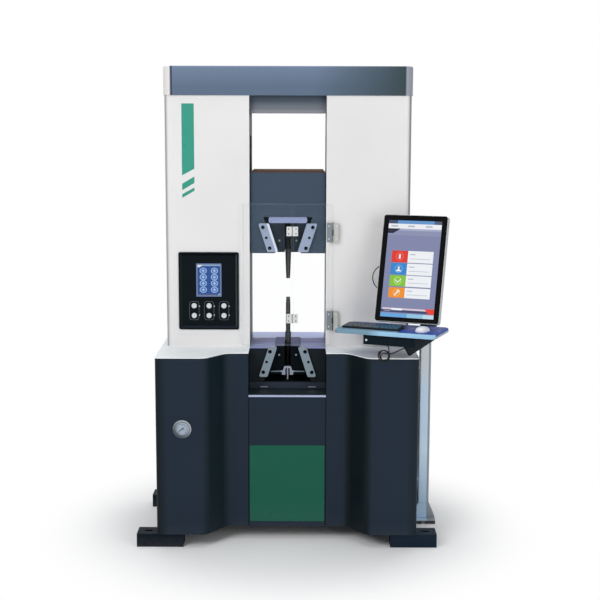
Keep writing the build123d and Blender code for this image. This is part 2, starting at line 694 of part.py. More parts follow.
def guide_plate(side, sizes, z_low, z_narrow, lean, face):
    """Retaining plate along a slot edge, with its sunk bolts; lean is +1 where the slot widens upwards."""
    height = sizes["length"] * math.cos(math.radians(WEDGE))
    out = (sizes["width"] - sizes["lap"]) / math.cos(math.radians(WEDGE))
    lap = sizes["lap"] / math.cos(math.radians(WEDGE))
    corners = []
    for z in (z_low, z_low + height):
        edge = GRIP_HALF + lean * (z - z_narrow) * SLOPE
        corners.append((edge, z))
    (low_edge, low), (high_edge, high) = corners
    points = [(low_edge - lap, low), (low_edge + out, low), (high_edge + out, high), (high_edge - lap, high)]
    y = (face - PLATE_T, face)
    plate = front_prism([(side * px, pz) for px, pz in points], [PLATE_R] * 4, y)
    solids = []
    middle = low + height / 2
    for step in (-1, 0, 1):
        z = middle + step * BOLT_PITCH * math.cos(math.radians(WEDGE))
        x = GRIP_HALF + lean * (z - z_narrow) * SLOPE + (out - lap) / 2 + sizes["bolt_out"]
        radius = BOLT_HEAD_R if step else BOLT_MID_R
        plate -= rod_y(side * x, (y[0], y[0] + BOLT_SINK), z, radius + SEAT_GAP)
        head = rod_y(side * x, (y[0] + 1, y[0] + BOLT_SINK), z, radius)
        key = Pos(side * x, y[0] + 1, z) * Rot(90, 0, 0) * RegularPolygon(BOLT_KEY_SHARE * radius, 6)
        solids.append(head - extrude(key, amount=BOLT_SINK / 2, dir=(0, 1, 0)))
    return [plate] + solids


def upper_guide_plates():
    """Retaining plates of the upper grip."""
    low = HEAD_Z + PLATE_R
    pieces = [guide_plate(side, UPPER_PLATE, low, HEAD_Z, 1, HEAD_FRONT) for side in (-1, 1)]
    return Compound(sum(pieces, []))


def lower_guide_plates():
    """Retaining plates of the lower grip."""
    height = LOWER_PLATE["length"] * math.cos(math.radians(WEDGE))
    low = DECK_Z + PLATE_PROUD - height
    pieces = [guide_plate(side, LOWER_PLATE, low, DECK_Z, -1, BLOCK_Y) for side in (-1, 1)]
    return Compound(sum(pieces, []))


def lower_grip_block():
    """Block of the lower grip with its wedge slot and front lip."""
    body = block((-BLOCK_HALF, BLOCK_HALF), (BLOCK_Y, BLOCK_BACK), (LEDGE_Z, DECK_Z))
    lip_z = LEDGE_Z + LIP_RISE
    body += block((-BLOCK_HALF, BLOCK_HALF), (BLOCK_Y - LIP_OUT, BLOCK_Y), (lip_z, lip_z + LIP_H))
    return body - wedge_slot(DECK_Z, DECK_Z - BLOCK_SLOT_H, (BLOCK_Y, LOAD_Y + SLOT_BACK))


def table_plate():
    """Table behind the lower grip."""
    return block((-BLOCK_HALF, BLOCK_HALF), (BLOCK_BACK, BASE_BACK - SHEET), (DECK_Z - TABLE_T, DECK_Z))


def revolved_bar(stations):
    """Round bar on the load line through pairs of radius and height."""
    points = [(0, stations[0][1])] + list(stations) + [(0, stations[-1][1])]
    face = make_face(Polyline(*[(r, 0, z) for r, z in points], close=True))
    return Pos(0, LOAD_Y, 0) * revolve(face, Axis.Z)


def specimen_upper():
    """Upper half of the broken test bar, necked at its end."""
    top = HEAD_Z + TEST_GRIPPED
    neck = TEST_TOP_END + TEST_TAPER
    return revolved_bar([(TEST_R, top), (TEST_R, HEAD_Z), (TEST_NECK_R, neck), (TEST_END_R, TEST_TOP_END)])


def specimen_lower():
    """Lower half of the broken test bar."""
    low = DECK_Z - TEST_GRIPPED
    step = TEST_LOW_SHOULDER
    neck = TEST_LOW_END - TEST_TAPER
    return revolved_bar([(TEST_R, low), (TEST_R, step), (TEST_NECK_R, step + TEST_R - TEST_NECK_R),
                         (TEST_NECK_R, neck), (TEST_END_R, TEST_LOW_END)])


# Folding guard

def hinge_half(x, z_middle, side, sizes, middle):
    """Half of a butt hinge: the leaf with its end barrels and pin, or with the middle barrel."""
    third = sizes["height"] / 3
    low = z_middle - sizes["height"] / 2
    y = (HINGE_Y - LEAF_T / 2, HINGE_Y + LEAF_T / 2)
    leaf_in = sizes["barrel"] + RUN_GAP
    half = block(span_from(x, side, leaf_in, sizes["leaf"]), y, (low, low + 3 * third))
    bands = [(low + third + RUN_GAP, low + 2 * third - RUN_GAP)]
    if not middle:
        bands = [(low, low + third), (low + 2 * third, low + 3 * third)]
    for z in bands:
        half += rod_z(x, HINGE_Y, z, sizes["barrel"]) + block(span_from(x, side, 0, leaf_in), y, z)
    if middle:
        return half - rod_z(x, HINGE_Y, bands[0], sizes["pin"] + RUN_GAP)
    return half + rod_z(x, HINGE_Y, (low, low + 3 * third), sizes["pin"])


def hinge_heights(sizes):
    """Middles of the two hinges of a kind, from their shares of the guard's height."""
    return [GUARD_Z + share * GUARD_H for share in sizes["shares"]]


def span_from(x, side, near, far):
    """Low and high X of a stretch beside the line x."""
    return tuple(sorted((x + side * near, x + side * far)))


def guard_hinge_fixed():
    """Hinge halves on the right column, on their spacer blocks."""
    halves = []
    for z in hinge_heights(STEEL_HINGE):
        half = hinge_half(GUARD_HINGE_X, z, 1, STEEL_HINGE, False)
        leaf = STEEL_HINGE["leaf"] * 0.75
        x = span_from(GUARD_HINGE_X, 1, SPACER_IN, leaf)
        height = STEEL_HINGE["height"] / 2
        halves.append(half + block(x, (GUARD_FRONT - SEAT_GAP, COL_FRONT), (z - height, z + height)))
    return Compound(halves)


def hinge_set(x, side, sizes, middle):
    """The two hinge halves at both hinge heights."""
    return Compound([hinge_half(x, z, side, sizes, middle) for z in hinge_heights(sizes)])


def guard_sheet(x):
    """One clear sheet of the guard."""
    sheet = block(x, (GUARD_FRONT, GUARD_FRONT + GUARD_T), (GUARD_Z, GUARD_Z + GUARD_H))
    return fillet(sheet.edges().filter_by(Axis.Y), GUARD_T)


# Control panel and gauge

def panel_plane():
    """Front plane of the control panel, with its normal into the column."""
    return Plane(origin=(PANEL_X, PANEL_FACE, PANEL_Z), x_dir=(1, 0, 0), z_dir=(0, 1, 0))


def button_places():
    """Centres of the buttons, top row first."""
    return [(PANEL_X + col * BUTTON_PITCH_X, z) for z in reversed(BUTTON_Z) for col in (-1, 0, 1)]


def control_bezel():
    """Black panel: rim on the column, sunk floor with the seats of the screen and the buttons."""
    rim = rounded_front((PANEL_X - PANEL_W / 2, PANEL_X + PANEL_W / 2), (PANEL_FACE, COL_FRONT),
                        (PANEL_Z - PANEL_H / 2, PANEL_Z + PANEL_H / 2), PANEL_R)
    half_w = PANEL_W / 2 - PANEL_BODY_IN
    half_h = PANEL_H / 2 - PANEL_BODY_IN
    body = block((PANEL_X - half_w, PANEL_X + half_w), (COL_FRONT, COL_FRONT + PANEL_BODY_D),
                 (PANEL_Z - half_h, PANEL_Z + half_h))
    mouth = panel_plane() * Rectangle(PANEL_W - 2 * PANEL_RIM, PANEL_H - 2 * PANEL_RIM)
    bezel = rim + body - extrude(mouth, amount=PANEL_SINK, taper=PANEL_TAPER)
    bezel -= screen_block(SEAT_GAP)
    depth = BUTTON_L - BUTTON_PROUD + BUTTON_TRAVEL + 1
    for x, z in button_places():
        bezel -= rod_y(x, (PANEL_FLOOR, PANEL_FLOOR + depth), z, BUTTON_R + RUN_GAP)
    return bezel


def screen_block(gap):
    """Block of the small screen, with room round it for its seat."""
    half_w = SCREEN_W / 2 + gap
    half_h = SCREEN_H / 2 + gap
    y = (PANEL_FLOOR - SCREEN_PROUD, PANEL_FLOOR - SCREEN_PROUD + SCREEN_T)
    return block((PANEL_X - half_w, PANEL_X + half_w), y, (SCREEN_Z - half_h, SCREEN_Z + half_h))


def button(x, z):
    """Round push button with an eased front edge."""
    y = (PANEL_FLOOR - BUTTON_PROUD, PANEL_FLOOR - BUTTON_PROUD + BUTTON_L)
    cap = rod_y(x, y, z, BUTTON_R)
    return chamfer(cap.faces().sort_by(Axis.Y)[0].edges(), BUTTON_EDGE)


def gauge_case():
    """Flanged gauge case with its ring, dial floor and needle pin."""
    face = BASE_FRONT - GAUGE_FLANGE_T
    front = face - GAUGE_RING_T
    case = rod_y(GAUGE_X, (face, BASE_FRONT), GAUGE_Z, GAUGE_FLANGE_R)
    case += rod_y(GAUGE_X, (front, face), GAUGE_Z, GAUGE_RING_R)
    case += rod_y(GAUGE_X, (BASE_FRONT, BASE_FRONT + GAUGE_BODY_D), GAUGE_Z, GAUGE_BODY_R)
    case = chamfer(case.faces().sort_by(Axis.Y)[0].edges(), GAUGE_GLASS_T)
    floor = front + GAUGE_SINK
    case -= rod_y(GAUGE_X, (front, floor), GAUGE_Z, GAUGE_DIAL_R)
    return case + rod_y(GAUGE_X, (floor - NEEDLE_LIFT - NEEDLE_T - 1, floor), GAUGE_Z, NEEDLE_PIN_R)


def gauge_glass():
    """Flat glass just inside the ring."""
    front = BASE_FRONT - GAUGE_FLANGE_T - GAUGE_RING_T
    y = (front + 1, front + 1 + GAUGE_GLASS_T)
    return rod_y(GAUGE_X, y, GAUGE_Z, GAUGE_DIAL_R - SEAT_GAP / 2)


def gauge_needle():
    """Needle with its hub, over the dial floor."""
    floor = BASE_FRONT - GAUGE_FLANGE_T - GAUGE_RING_T + GAUGE_SINK
    y = (floor - NEEDLE_LIFT - NEEDLE_T, floor - NEEDLE_LIFT)
    tail = NEEDLE_HUB_R * 3
    points = [(-NEEDLE_W / 2, -tail), (NEEDLE_W / 2, -tail), (NEEDLE_W / 4, NEEDLE_L), (-NEEDLE_W / 4, NEEDLE_L)]
    needle = front_prism(points, [0] * 4, y) + rod_y(0, y, 0, NEEDLE_HUB_R)
    needle -= rod_y(0, y, 0, NEEDLE_PIN_R + SEAT_GAP)
    return Pos(GAUGE_X, 0, GAUGE_Z) * Rot(0, NEEDLE_REST, 0) * needle


# Console

def console_post():
    """Square post tied to the base, with gusseted foot plate, black pads and the turning spigot on top."""
    half = POST_W / 2
    plate_top = PAD_H + FOOT_PLATE_T
    post = rounded_plan((-half, half), (-half, half), (plate_top, POST_TOP), POST_R)
    post += rod_z(0, 0, (POST_TOP, SLEEVE_TOP - SLEEVE_CAP - SEAT_GAP), SPIGOT_R)
    reach = FOOT_PLATE / 2
    post += rounded_plan((-reach, reach), (-reach, reach), (PAD_H, plate_top), POST_R)
    points = [(-reach, plate_top), (reach, plate_top), (half, plate_top + GUSSET_H), (-half, plate_top + GUSSET_H)]
    for y in (-half - GUSSET_T, half):
        post += front_prism(points, [0] * 4, (y, y + GUSSET_T))
    for z in TIE_RISES:
        wall = BASE_W / 2 - POST_X
        post += block((wall, 0), (-TIE_W / 2, TIE_W / 2), (z, z + TIE_T))
        post += block((wall, wall + TIE_T), (-TIE_W / 2, TIE_W / 2), (z - TIE_PAD_H / 2, z + TIE_PAD_H / 2))
    pads = [block((-reach, -reach + PAD_W), (-reach, reach), (0, PAD_H)),
            block((reach - PAD_W, reach), (-reach, reach), (0, PAD_H))]
    return Pos(POST_X, POST_Y, 0) * Compound([post] + pads)


def swivel_arm():
    """Sleeve on the spigot with the folded tray arm, the tray bracket and the monitor arm."""
    arm = rod_z(0, 0, (POST_TOP + SEAT_GAP, SLEEVE_TOP), SLEEVE_R) + tray_bracket()
    arm += tray_web() + Pos(ARM_X, 0, 0) * monitor_arm()
    arm -= rod_z(0, 0, (POST_TOP, SLEEVE_TOP - SLEEVE_CAP), SPIGOT_R + RUN_GAP)
    return CONSOLE * arm


def tray_web():
    """Plate from the sleeve to the tray bracket, deepest at its tip, with the heel that joins it to the sleeve."""
    x = (WEB_X - WEB_T / 2, WEB_X + WEB_T / 2)
    points = [(-WEB_BACK, TRAY_LOW - WEB_DROP), (-WEB_TIP_FWD, TRAY_LOW - WEB_TIP_DROP),
              (-APRON_FWD, TRAY_LOW - APRON_H), (-APRON_FWD, TRAY_LOW), (-WEB_BACK, TRAY_LOW)]
    heel = block((0, x[1]), (-HEEL_FWD, 0), (TRAY_LOW - HEEL_DROP, TRAY_LOW))
    return side_prism(points, [0] * 5, x) + heel


def tray_bracket():
    """Channel under the tray: top plate, front apron and two end flanges."""
    low = TRAY_LOW - APRON_H
    x = (APRON_LEFT, APRON_RIGHT)
    bracket = block(x, (-APRON_FWD, -BRACKET_BACK), (low, TRAY_LOW))
    inner = (APRON_LEFT + SHEET, APRON_RIGHT - SHEET)
    return bracket - block(inner, (-APRON_FWD + SHEET, -BRACKET_BACK), (low, TRAY_LOW - SHEET))


def monitor_arm():
    """Bar from the sleeve to the clevis of the tilt hinge, with its pin."""
    half = ARM_BAR_W / 2
    z = (TILT_Z - ARM_BAR_H / 2, TILT_Z + ARM_BAR_H / 2)
    stop = TILT_FWD - EAR_R - 2
    bar = block((-half, half), (-stop, 0), z)
    ears = rod_x((-LUG_W / 2 - EAR_T, LUG_W / 2 + EAR_T), -TILT_FWD, TILT_Z, EAR_R)
    ears += block((-LUG_W / 2 - EAR_T, LUG_W / 2 + EAR_T), (-TILT_FWD, -stop + EAR_T), (TILT_Z - EAR_R, TILT_Z + EAR_R))
    gap = LUG_W / 2 + RUN_GAP
    ears -= block((-gap, gap), (-TILT_FWD - EAR_R, -stop), (TILT_Z - EAR_R, TILT_Z + EAR_R))
    return bar + ears + rod_x((-gap, gap), -TILT_FWD, TILT_Z, TILT_PIN_R)


def tray():
    """Keyboard tray with rounded corners and a soft nosing."""
    slab = rounded_plan((TRAY_LEFT, TRAY_RIGHT), (-TRAY_FRONT, -TRAY_BACK), (TRAY_LOW, TRAY_Z), TRAY_R)
    slab = fillet(slab.faces().sort_by(Axis.Z)[-1].edges(), TRAY_NOSE_R)
    return CONSOLE * slab


def keyboard():
    """Wedge case with its rows of separate keys."""
    front = -KEYS_FRONT
    rise_back = KEYS_HIGH_H - KEYS_LOW_H
    points = [(front, TRAY_Z), (front + KEYS_D, TRAY_Z), (front + KEYS_D, TRAY_Z + KEYS_HIGH_H),
              (front, TRAY_Z + KEYS_LOW_H)]
    case = side_prism(points, [0, 0, KEYS_R / 2, KEYS_R / 2], (KEYS_LEFT, KEYS_LEFT + KEYS_W))
    slope = math.degrees(math.atan2(rise_back, KEYS_D))
    deck_place = Pos(KEYS_LEFT, front, TRAY_Z + KEYS_LOW_H) * Rot(slope, 0, 0)
    pitch_x = (KEYS_W - 2 * KEYS_RIM) / KEY_COLS
    pitch_y = (KEYS_D - 2 * KEYS_RIM) / KEY_ROWS
    size = (pitch_x - KEY_GAP, pitch_y - KEY_GAP, KEY_H)
    keys = []
    for row in range(KEY_ROWS):
        for col in range(KEY_COLS):
            place = Pos(KEYS_RIM + (col + 0.5) * pitch_x, KEYS_RIM + (row + 0.5) * pitch_y, KEY_H / 2 + SEAT_GAP)
            keys.append(deck_place * place * Box(*size))
    return CONSOLE * Compound([case] + keys)


def mouse():
    """Low domed mouse lying across the tray, lofted through a stack of ovals."""
    ovals = []
    for share in (0, 0.35, 0.7, 0.92):
        k = math.sqrt(1 - share * share)
        ovals.append(Pos(0, 0, share * MOUSE_H) * Ellipse(MOUSE_L / 2 * k, MOUSE_W / 2 * k))
    return CONSOLE * Pos(MOUSE_X, -MOUSE_FWD, TRAY_Z) * Rot(0, 0, 90 - MOUSE_TURN) * loft(ovals, ruled=True)


# Monitor

def monitor_case():
    """Case with its back edges eased, the seat of the glass, and the tilt lug."""
    case = rounded_front((-MON_W / 2, MON_W / 2), (0, MON_T), (-MON_H / 2, MON_H / 2), MON_R)
    case = chamfer(case.faces().sort_by(Axis.Y)[-1].edges(), MON_BACK_EDGE)
    rim = GLASS_RIM - SEAT_GAP
    case -= rounded_front((-MON_W / 2 + rim, MON_W / 2 - rim), (0, GLASS_T), (-MON_H / 2 + rim, MON_H / 2 - rim), MON_R - rim)
    pin_y = MON_T + LUG_OUT
    half = LUG_W / 2
    lug = rod_x((-half, half), pin_y, 0, EAR_R) + block((-half, half), (MON_T, pin_y), (-EAR_R, EAR_R))
    lug -= rod_x((-half, half), pin_y, 0, TILT_PIN_R + SEAT_GAP)
    return MONITOR * (case + lug)


def monitor_screen():
    """Black glass over the whole front, with the lit field behind it."""
    x = MON_W / 2 - GLASS_RIM
    z = MON_H / 2 - GLASS_RIM
    return MONITOR * rounded_front((-x, x), (0, GLASS_T), (-z, z), MON_R - GLASS_RIM)


# Loose leads

def route_radii(points):
    """Largest tangent arc at each inner point of a route."""
    radii = []
    corners = [Vector(*p) for p in points]
    for before, at, after in zip(corners, corners[1:], corners[2:]):
        turn = (at - before).get_angle(after - at)
        shorter = min((at - before).length, (after - at).length)
        radii.append(0.45 * shorter / math.tan(math.radians(turn / 2)))
    return radii


def lead(points):
    """Plain round lead along straight runs and tangent arcs."""
    radii = route_radii(points)
    path = FilletPolyline(*points, radius=radii)
    profile = Plane(origin=path @ 0, z_dir=path % 0) * Circle(LEAD_R)
    tube = sweep(profile, path=path)
    print("lead radii", [round(r) for r in radii], "length", round(path.length),
          "volume share", round(tube.volume / (math.pi * LEAD_R ** 2 * path.length), 3))
    return tube


def hanging_coil():
    """Outer shape of the tied coil under the tray bracket."""
    ring = Cylinder(COIL_R + COIL_TUBE_R, 2 * COIL_TUBE_R) - Cylinder(COIL_R - COIL_TUBE_R, 2 * COIL_TUBE_R)
    ring = chamfer(ring.edges().filter_by(GeomType.CIRCLE), COIL_TUBE_R / 2)
    return LEADS * Pos(*COIL_AT) * Rot(90, 0, 0) * ring


def all_parts():
    """Every node by its name."""
    nodes = {
        "foot_bars": Compound([foot(side, end) for side in (-1, 1) for end in (-1, 1)]),
        "base_frame": base_frame(),
        "base_cover_left": base_cover(-1),
        "base_cover_right": base_cover(1),
        "base_rear_panel": rear_panel(),
        "deck_plates": Compound([deck(-1), deck(1)]),
        "centre_panel": centre_panel(),
        "service_panel": service_panel(),
        "table_ledge": table_ledge(),
        "table_plate": table_plate(),
        "power_pack": power_pack(),
        "guide_columns": guide_columns(),
        "lift_cylinders": lift_cylinders(),
        "column_cover_left": column_cover(-1),
        "column_cover_right": column_cover(1),
        "column_inner_strips": Compound([inner_strip(-1), inner_strip(1)]),
        "top_beam": top_beam(),
        "top_cover": top_cover(),
        "lower_grip_block": lower_grip_block(),
        "lower_guide_plates": lower_guide_plates(),
        "lower_jaw_left": lower_jaw(-1),
        "lower_jaw_right": lower_jaw(1),
        "lower_yoke": lower_yoke(),
        "specimen_lower": specimen_lower(),
        "crosshead_body": crosshead_body(),
        "crosshead_top_plate": crosshead_top_plate(),
        "lift_rods": lift_rods(),
        "upper_guide_plates": upper_guide_plates(),
        "upper_jaw_left": upper_jaw(-1),
        "upper_jaw_right": upper_jaw(1),
        "upper_yoke": upper_yoke(),
        "specimen_upper": specimen_upper(),
        "guard_hinge_fixed": guard_hinge_fixed(),
        "guard_sheet_right": guard_sheet((FOLD_X + FOLD_GAP, GUARD_HINGE_X - GUARD_EDGE)),
        "guard_hinge_leaves": hinge_set(GUARD_HINGE_X, -1, STEEL_HINGE, True),
        "fold_hinge_right": hinge_set(FOLD_X, 1, FOLD_HINGE, False),
        "guard_sheet_left": guard_sheet((GUARD_LEFT, FOLD_X - FOLD_GAP)),
        "fold_hinge_left": hinge_set(FOLD_X, -1, FOLD_HINGE, True),
        "control_bezel": control_bezel(),
        "control_screen": screen_block(0),
        "gauge_case": gauge_case(),
        "gauge_glass": gauge_glass(),
        "gauge_needle": gauge_needle(),
        "console_post": console_post(),
        "swivel_arm": swivel_arm(),
        "tray": tray(),
        "keyboard": keyboard(),
        "mouse": mouse(),
        "monitor_case": monitor_case(),
        "monitor_screen": monitor_screen(),
        "monitor_lead": LEADS * lead(LOOP_ROUTE),
        "hanging_lead": LEADS * lead(HANG_ROUTE),
        "hanging_coil": hanging_coil(),
    }
    for number, (x, z) in enumerate(button_places(), start=1):
        nodes[f"button_{number}"] = button(x, z)
    return nodes


os.makedirs("parts", exist_ok=True)
for name, shape in all_parts().items():
    export_step(shape, f"parts/{name}.step")
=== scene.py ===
# %% [markdown]
# # Dressing a universal testing machine
# The machine comes from CAD as solids in metres: X to the operator's right, -Y towards the operator, Z up.
# Its solids stay where they are. This file gives them their finishes and adds what is too thin or too fine
# for the solids: film stripes, lit screens, dial marks, key caps, screw heads and two loose leads.

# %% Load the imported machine
import math
import bmesh
import bpy
import numpy as np
from mathutils import Matrix, Vector


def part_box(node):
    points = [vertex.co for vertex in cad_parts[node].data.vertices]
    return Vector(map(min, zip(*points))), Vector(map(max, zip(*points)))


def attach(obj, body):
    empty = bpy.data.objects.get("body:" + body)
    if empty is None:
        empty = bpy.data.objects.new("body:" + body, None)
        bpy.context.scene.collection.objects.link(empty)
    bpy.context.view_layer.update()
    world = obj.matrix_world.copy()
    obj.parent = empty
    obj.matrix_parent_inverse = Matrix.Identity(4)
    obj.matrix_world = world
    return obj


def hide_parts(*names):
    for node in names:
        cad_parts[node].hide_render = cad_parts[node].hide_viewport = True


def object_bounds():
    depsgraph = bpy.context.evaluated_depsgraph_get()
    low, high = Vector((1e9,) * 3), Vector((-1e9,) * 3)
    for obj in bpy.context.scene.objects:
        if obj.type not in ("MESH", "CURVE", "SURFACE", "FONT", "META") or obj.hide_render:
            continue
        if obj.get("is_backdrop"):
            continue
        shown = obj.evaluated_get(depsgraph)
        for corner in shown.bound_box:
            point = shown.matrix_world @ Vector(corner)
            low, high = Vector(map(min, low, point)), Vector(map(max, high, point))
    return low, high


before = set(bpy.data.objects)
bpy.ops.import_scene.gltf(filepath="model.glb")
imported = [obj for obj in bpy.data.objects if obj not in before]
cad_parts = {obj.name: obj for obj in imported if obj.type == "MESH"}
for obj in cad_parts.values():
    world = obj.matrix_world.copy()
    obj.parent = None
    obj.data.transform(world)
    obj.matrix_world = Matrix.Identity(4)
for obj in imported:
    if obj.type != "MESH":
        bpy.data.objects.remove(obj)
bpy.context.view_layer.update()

# %% [markdown]
# ## The camera
# The photograph was taken from about eye level, six metres away, looking a little down. The lens follows
# from the way the upright edges draw together: 1192 pixels of focal length in a 600 pixel frame. On a 36 mm
# sensor that is 71.5 mm. A rotation matrix keeps pitch, turn and roll apart, so each can be read in degrees.

# %% Camera
FOCAL_PX, FRAME_PX, SENSOR_MM = 1192.18, 600, 36.0
CAMERA_AT = (0.0707, -5.8925, 1.9967)
PITCH_DOWN, TURN_LEFT, ROLL = 8.13, 0.10, 0.15


def linked(name, data):
    """An object of that data, put into the scene."""
    thing = bpy.data.objects.new(name, data)
    bpy.context.scene.collection.objects.link(thing)
    return thing


lens = bpy.data.cameras.new("camera")
lens.sensor_fit = "HORIZONTAL"
lens.sensor_width = SENSOR_MM
lens.lens = SENSOR_MM * FOCAL_PX / FRAME_PX
camera = linked("camera", lens)
turn = Matrix.Rotation(math.radians(TURN_LEFT), 4, "Z")
pitch = Matrix.Rotation(math.radians(90 - PITCH_DOWN), 4, "X")
roll = Matrix.Rotation(math.radians(ROLL), 4, "Z")
camera.matrix_world = Matrix.Translation(CAMERA_AT) @ turn @ pitch @ roll
bpy.context.scene.camera = camera
print("lens", round(lens.lens, 2), "mm")

# %% [markdown]
# ## The console's own frame
# Tray, keyboard and monitor are turned 22.5 degrees on the post. Writing their points in a frame that turns
# with the console keeps the numbers short: X to the right of the post, -Y towards the operator. The monitor
# has one more frame, leaning 15 degrees back, with its origin in the middle of the front.

# %% Console and monitor frames
POST = np.array([0.6954, 0.050, 0.0])
YAW, LEAN = math.radians(-22.5), math.radians(15.0)
MONITOR_AT = np.array([0.0275, -0.3518, 1.3467])
CONSOLE_RIGHT = (math.cos(YAW), math.sin(YAW), 0.0)
CONSOLE_LEFT = (-math.cos(YAW), -math.sin(YAW), 0.0)
CONSOLE_FRONT = (math.sin(YAW), -math.cos(YAW), 0.0)


def turned(points, angle, centre):
    """Turn about the upright line, then move to a centre."""
    p = np.asarray(points, float)
    c, s = math.cos(angle), math.sin(angle)
    return np.stack([p[..., 0] * c - p[..., 1] * s, p[..., 0] * s + p[..., 1] * c, p[..., 2]], -1) + centre


def on_console(points):
    """Turn by the yaw of the console, then move to the post."""
    return turned(points, YAW, POST)


def on_monitor(points):
    """Lean back about the monitor's middle line, then go over to the console's frame."""
    p = np.asarray(points, float)
    c, s = math.cos(LEAN), math.sin(LEAN)
    leant = np.stack([p[..., 0], p[..., 1] * c + p[..., 2] * s, -p[..., 1] * s + p[..., 2] * c], -1)
    return on_console(leant + MONITOR_AT)


print("monitor middle", on_monitor([0, 0, 0]).round(3))

# %% [markdown]
# ## Two loose leads
# One lead makes a wide loop beside the monitor, from the arm's side back to its underside. The other comes
# out of the tray arm, is wound into a small untidy coil and goes back up behind the bracket. A NURBS line
# through few control points bends as a real lead does, with no corners, and a round bevel makes it thick.

# %% Leads
LEAD_D = 0.005
LOOP = np.array([(11.8, -199.6, 1330), (-60, -213, 1358), (-130, -232, 1359), (-186, -249, 1328),
                 (-202, -253, 1283), (-189, -246, 1238), (-142, -226, 1205), (-66, -190, 1205),
                 (-8, -160, 1252), (16.9, -141.3, 1312)]) / 1000
HANG = np.array([(52, -468, 992), (30, -482, 983), (10, -497, 972), (-14, -516, 961)]) / 1000
TAIL = np.array([(-19, -528, 975), (-24, -519, 992), (-36, -507, 1008), (-42, -500, 1026),
                 (-43, -497, 1046)]) / 1000
COIL_AT, COIL_R = np.array([-0.044, -0.521, 0.953]), 0.0255
COIL_FROM, COIL_SWEEP, COIL_POINTS = math.radians(105), math.radians(990), 40


def coil_points():
    """Spiral in the upright plane: the radius opens over the first half turn and then wavers a little,
    while the depth comes evenly to the front."""
    part = np.linspace(0, 1, COIL_POINTS)
    angle = COIL_FROM + COIL_SWEEP * part
    opening = np.clip(part * COIL_SWEEP / math.pi, 0, 1)
    radius = COIL_R * (0.45 + 0.55 * opening) + 0.0028 * np.sin(part * 9.0) * opening
    depth = 0.0060 - 0.0030 * opening - 0.0125 * part
    return COIL_AT + np.stack([radius * np.cos(angle), depth, radius * np.sin(angle)], -1)


def lead(name, route):
    """A round lead along a NURBS line of third order through its end points, as thick as their radius."""
    curve = bpy.data.curves.new(name, "CURVE")
    curve.dimensions = "3D"
    curve.bevel_depth, curve.bevel_resolution, curve.use_fill_caps = 1.0, 3, True
    spline = curve.splines.new("NURBS")
    spline.points.add(len(route) - 1)
    world = on_console(route)
    spline.points.foreach_set("co", np.c_[world, np.ones(len(world))].ravel())
    spline.points.foreach_set("radius", np.full(len(world), LEAD_D / 2))
    spline.order_u, spline.use_endpoint_u, spline.resolution_u = 3, True, 10
    cord = linked(name, curve)
    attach(cord, "console")
    return cord


loop_lead = lead("monitor_loop_lead", LOOP)
coil_route = np.r_[HANG, coil_points(), TAIL]
coil_lead = lead("tray_coil_lead", coil_route)
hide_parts("monitor_lead")
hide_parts("hanging_lead", "hanging_coil")
print("leads", len(LOOP), "and", len(coil_route), "points")

# %% [markdown]
# ## Floor and studio light
# A product picture has a white ground with only a soft shadow on it. A floor lit by lamps is never quite
# white, so its shader fades, with distance from the machine, into a plain white that only camera, mirror and
# glass rays see. Three wide lamps and a pale sky light the machine itself at a level where paint shows its
# own colour. Two small helpers make shader nodes and fill their inputs.

# %% Shader node helpers


def fill(node, values):
    """Fill inputs by name or number: link a value that comes from another node, write a plain one."""
    for title, value in values.items():
        if isinstance(value, bpy.types.NodeSocket):
            node.id_data.links.new(value, node.inputs[title])
        else:
            node.inputs[title].default_value = value


def add(tree, kind, values, **settings):
    """Outputs of a new shader node with those settings and inputs."""
    node = tree.nodes.new("ShaderNode" + kind)
    for title, setting in settings.items():
        setattr(node, title, setting)
    fill(node, values)
    return node.outputs


print("node helpers ready")

# %% Sky and floor shaders
SKY_TINT, SKY_LIGHT, WHITE = (0.93, 0.96, 1.0, 1), 0.40, (1, 1, 1, 1)
FLOOR_TINT, FADE_FROM, FADE_TO = (0.93, 0.93, 0.93, 1), 0.55, 1.35
bpy.context.scene.view_settings.view_transform = "Standard"


def seen_directly(tree):
    """1 for camera, mirror and glass rays, 0 for rays that only carry light."""
    path = add(tree, "LightPath", {})
    first = add(tree, "Math", {0: path["Is Camera Ray"], 1: path["Is Glossy Ray"]}, operation="MAXIMUM")
    return add(tree, "Math", {0: first[0], 1: path["Is Transmission Ray"]}, operation="MAXIMUM")[0]


def blended(tree, share, first, second, kind):
    """Send a blend of two shaders, by a share, to a new output node."""
    mixed = add(tree, "MixShader", {0: share, 1: first[0], 2: second[0]})
    add(tree, kind, {0: mixed[0]})


def studio_sky():
    """White where it is seen, a dimmer cool white where it only lights."""
    world = bpy.data.worlds.new("studio")
    world.use_nodes = True
    tree = world.node_tree
    tree.nodes.clear()
    dim = add(tree, "Background", {"Color": SKY_TINT, "Strength": SKY_LIGHT})
    white = add(tree, "Background", {"Color": WHITE, "Strength": 1.0})
    blended(tree, seen_directly(tree), dim, white, "OutputWorld")
    bpy.context.scene.world = world


def floor_material():
    """Pale diffuse floor near the machine that turns into plain white further out."""
    material = bpy.data.materials.new("studio_floor")
    material.use_nodes = True
    tree = material.node_tree
    tree.nodes.clear()
    matt, white = add(tree, "BsdfDiffuse", {"Color": FLOOR_TINT}), add(tree, "Emission", {})
    distance = add(tree, "VectorMath", {0: add(tree, "TexCoord", {})["Object"]}, operation="LENGTH")["Value"]
    fade = add(tree, "MapRange", {"Value": distance, "From Min": FADE_FROM, "From Max": FADE_TO},
               interpolation_type="SMOOTHERSTEP")
    share = add(tree, "Math", {0: fade[0], 1: seen_directly(tree)}, operation="MULTIPLY")
    blended(tree, share[0], matt, white, "OutputMaterial")
    return material


studio_sky()
print("sky ready")

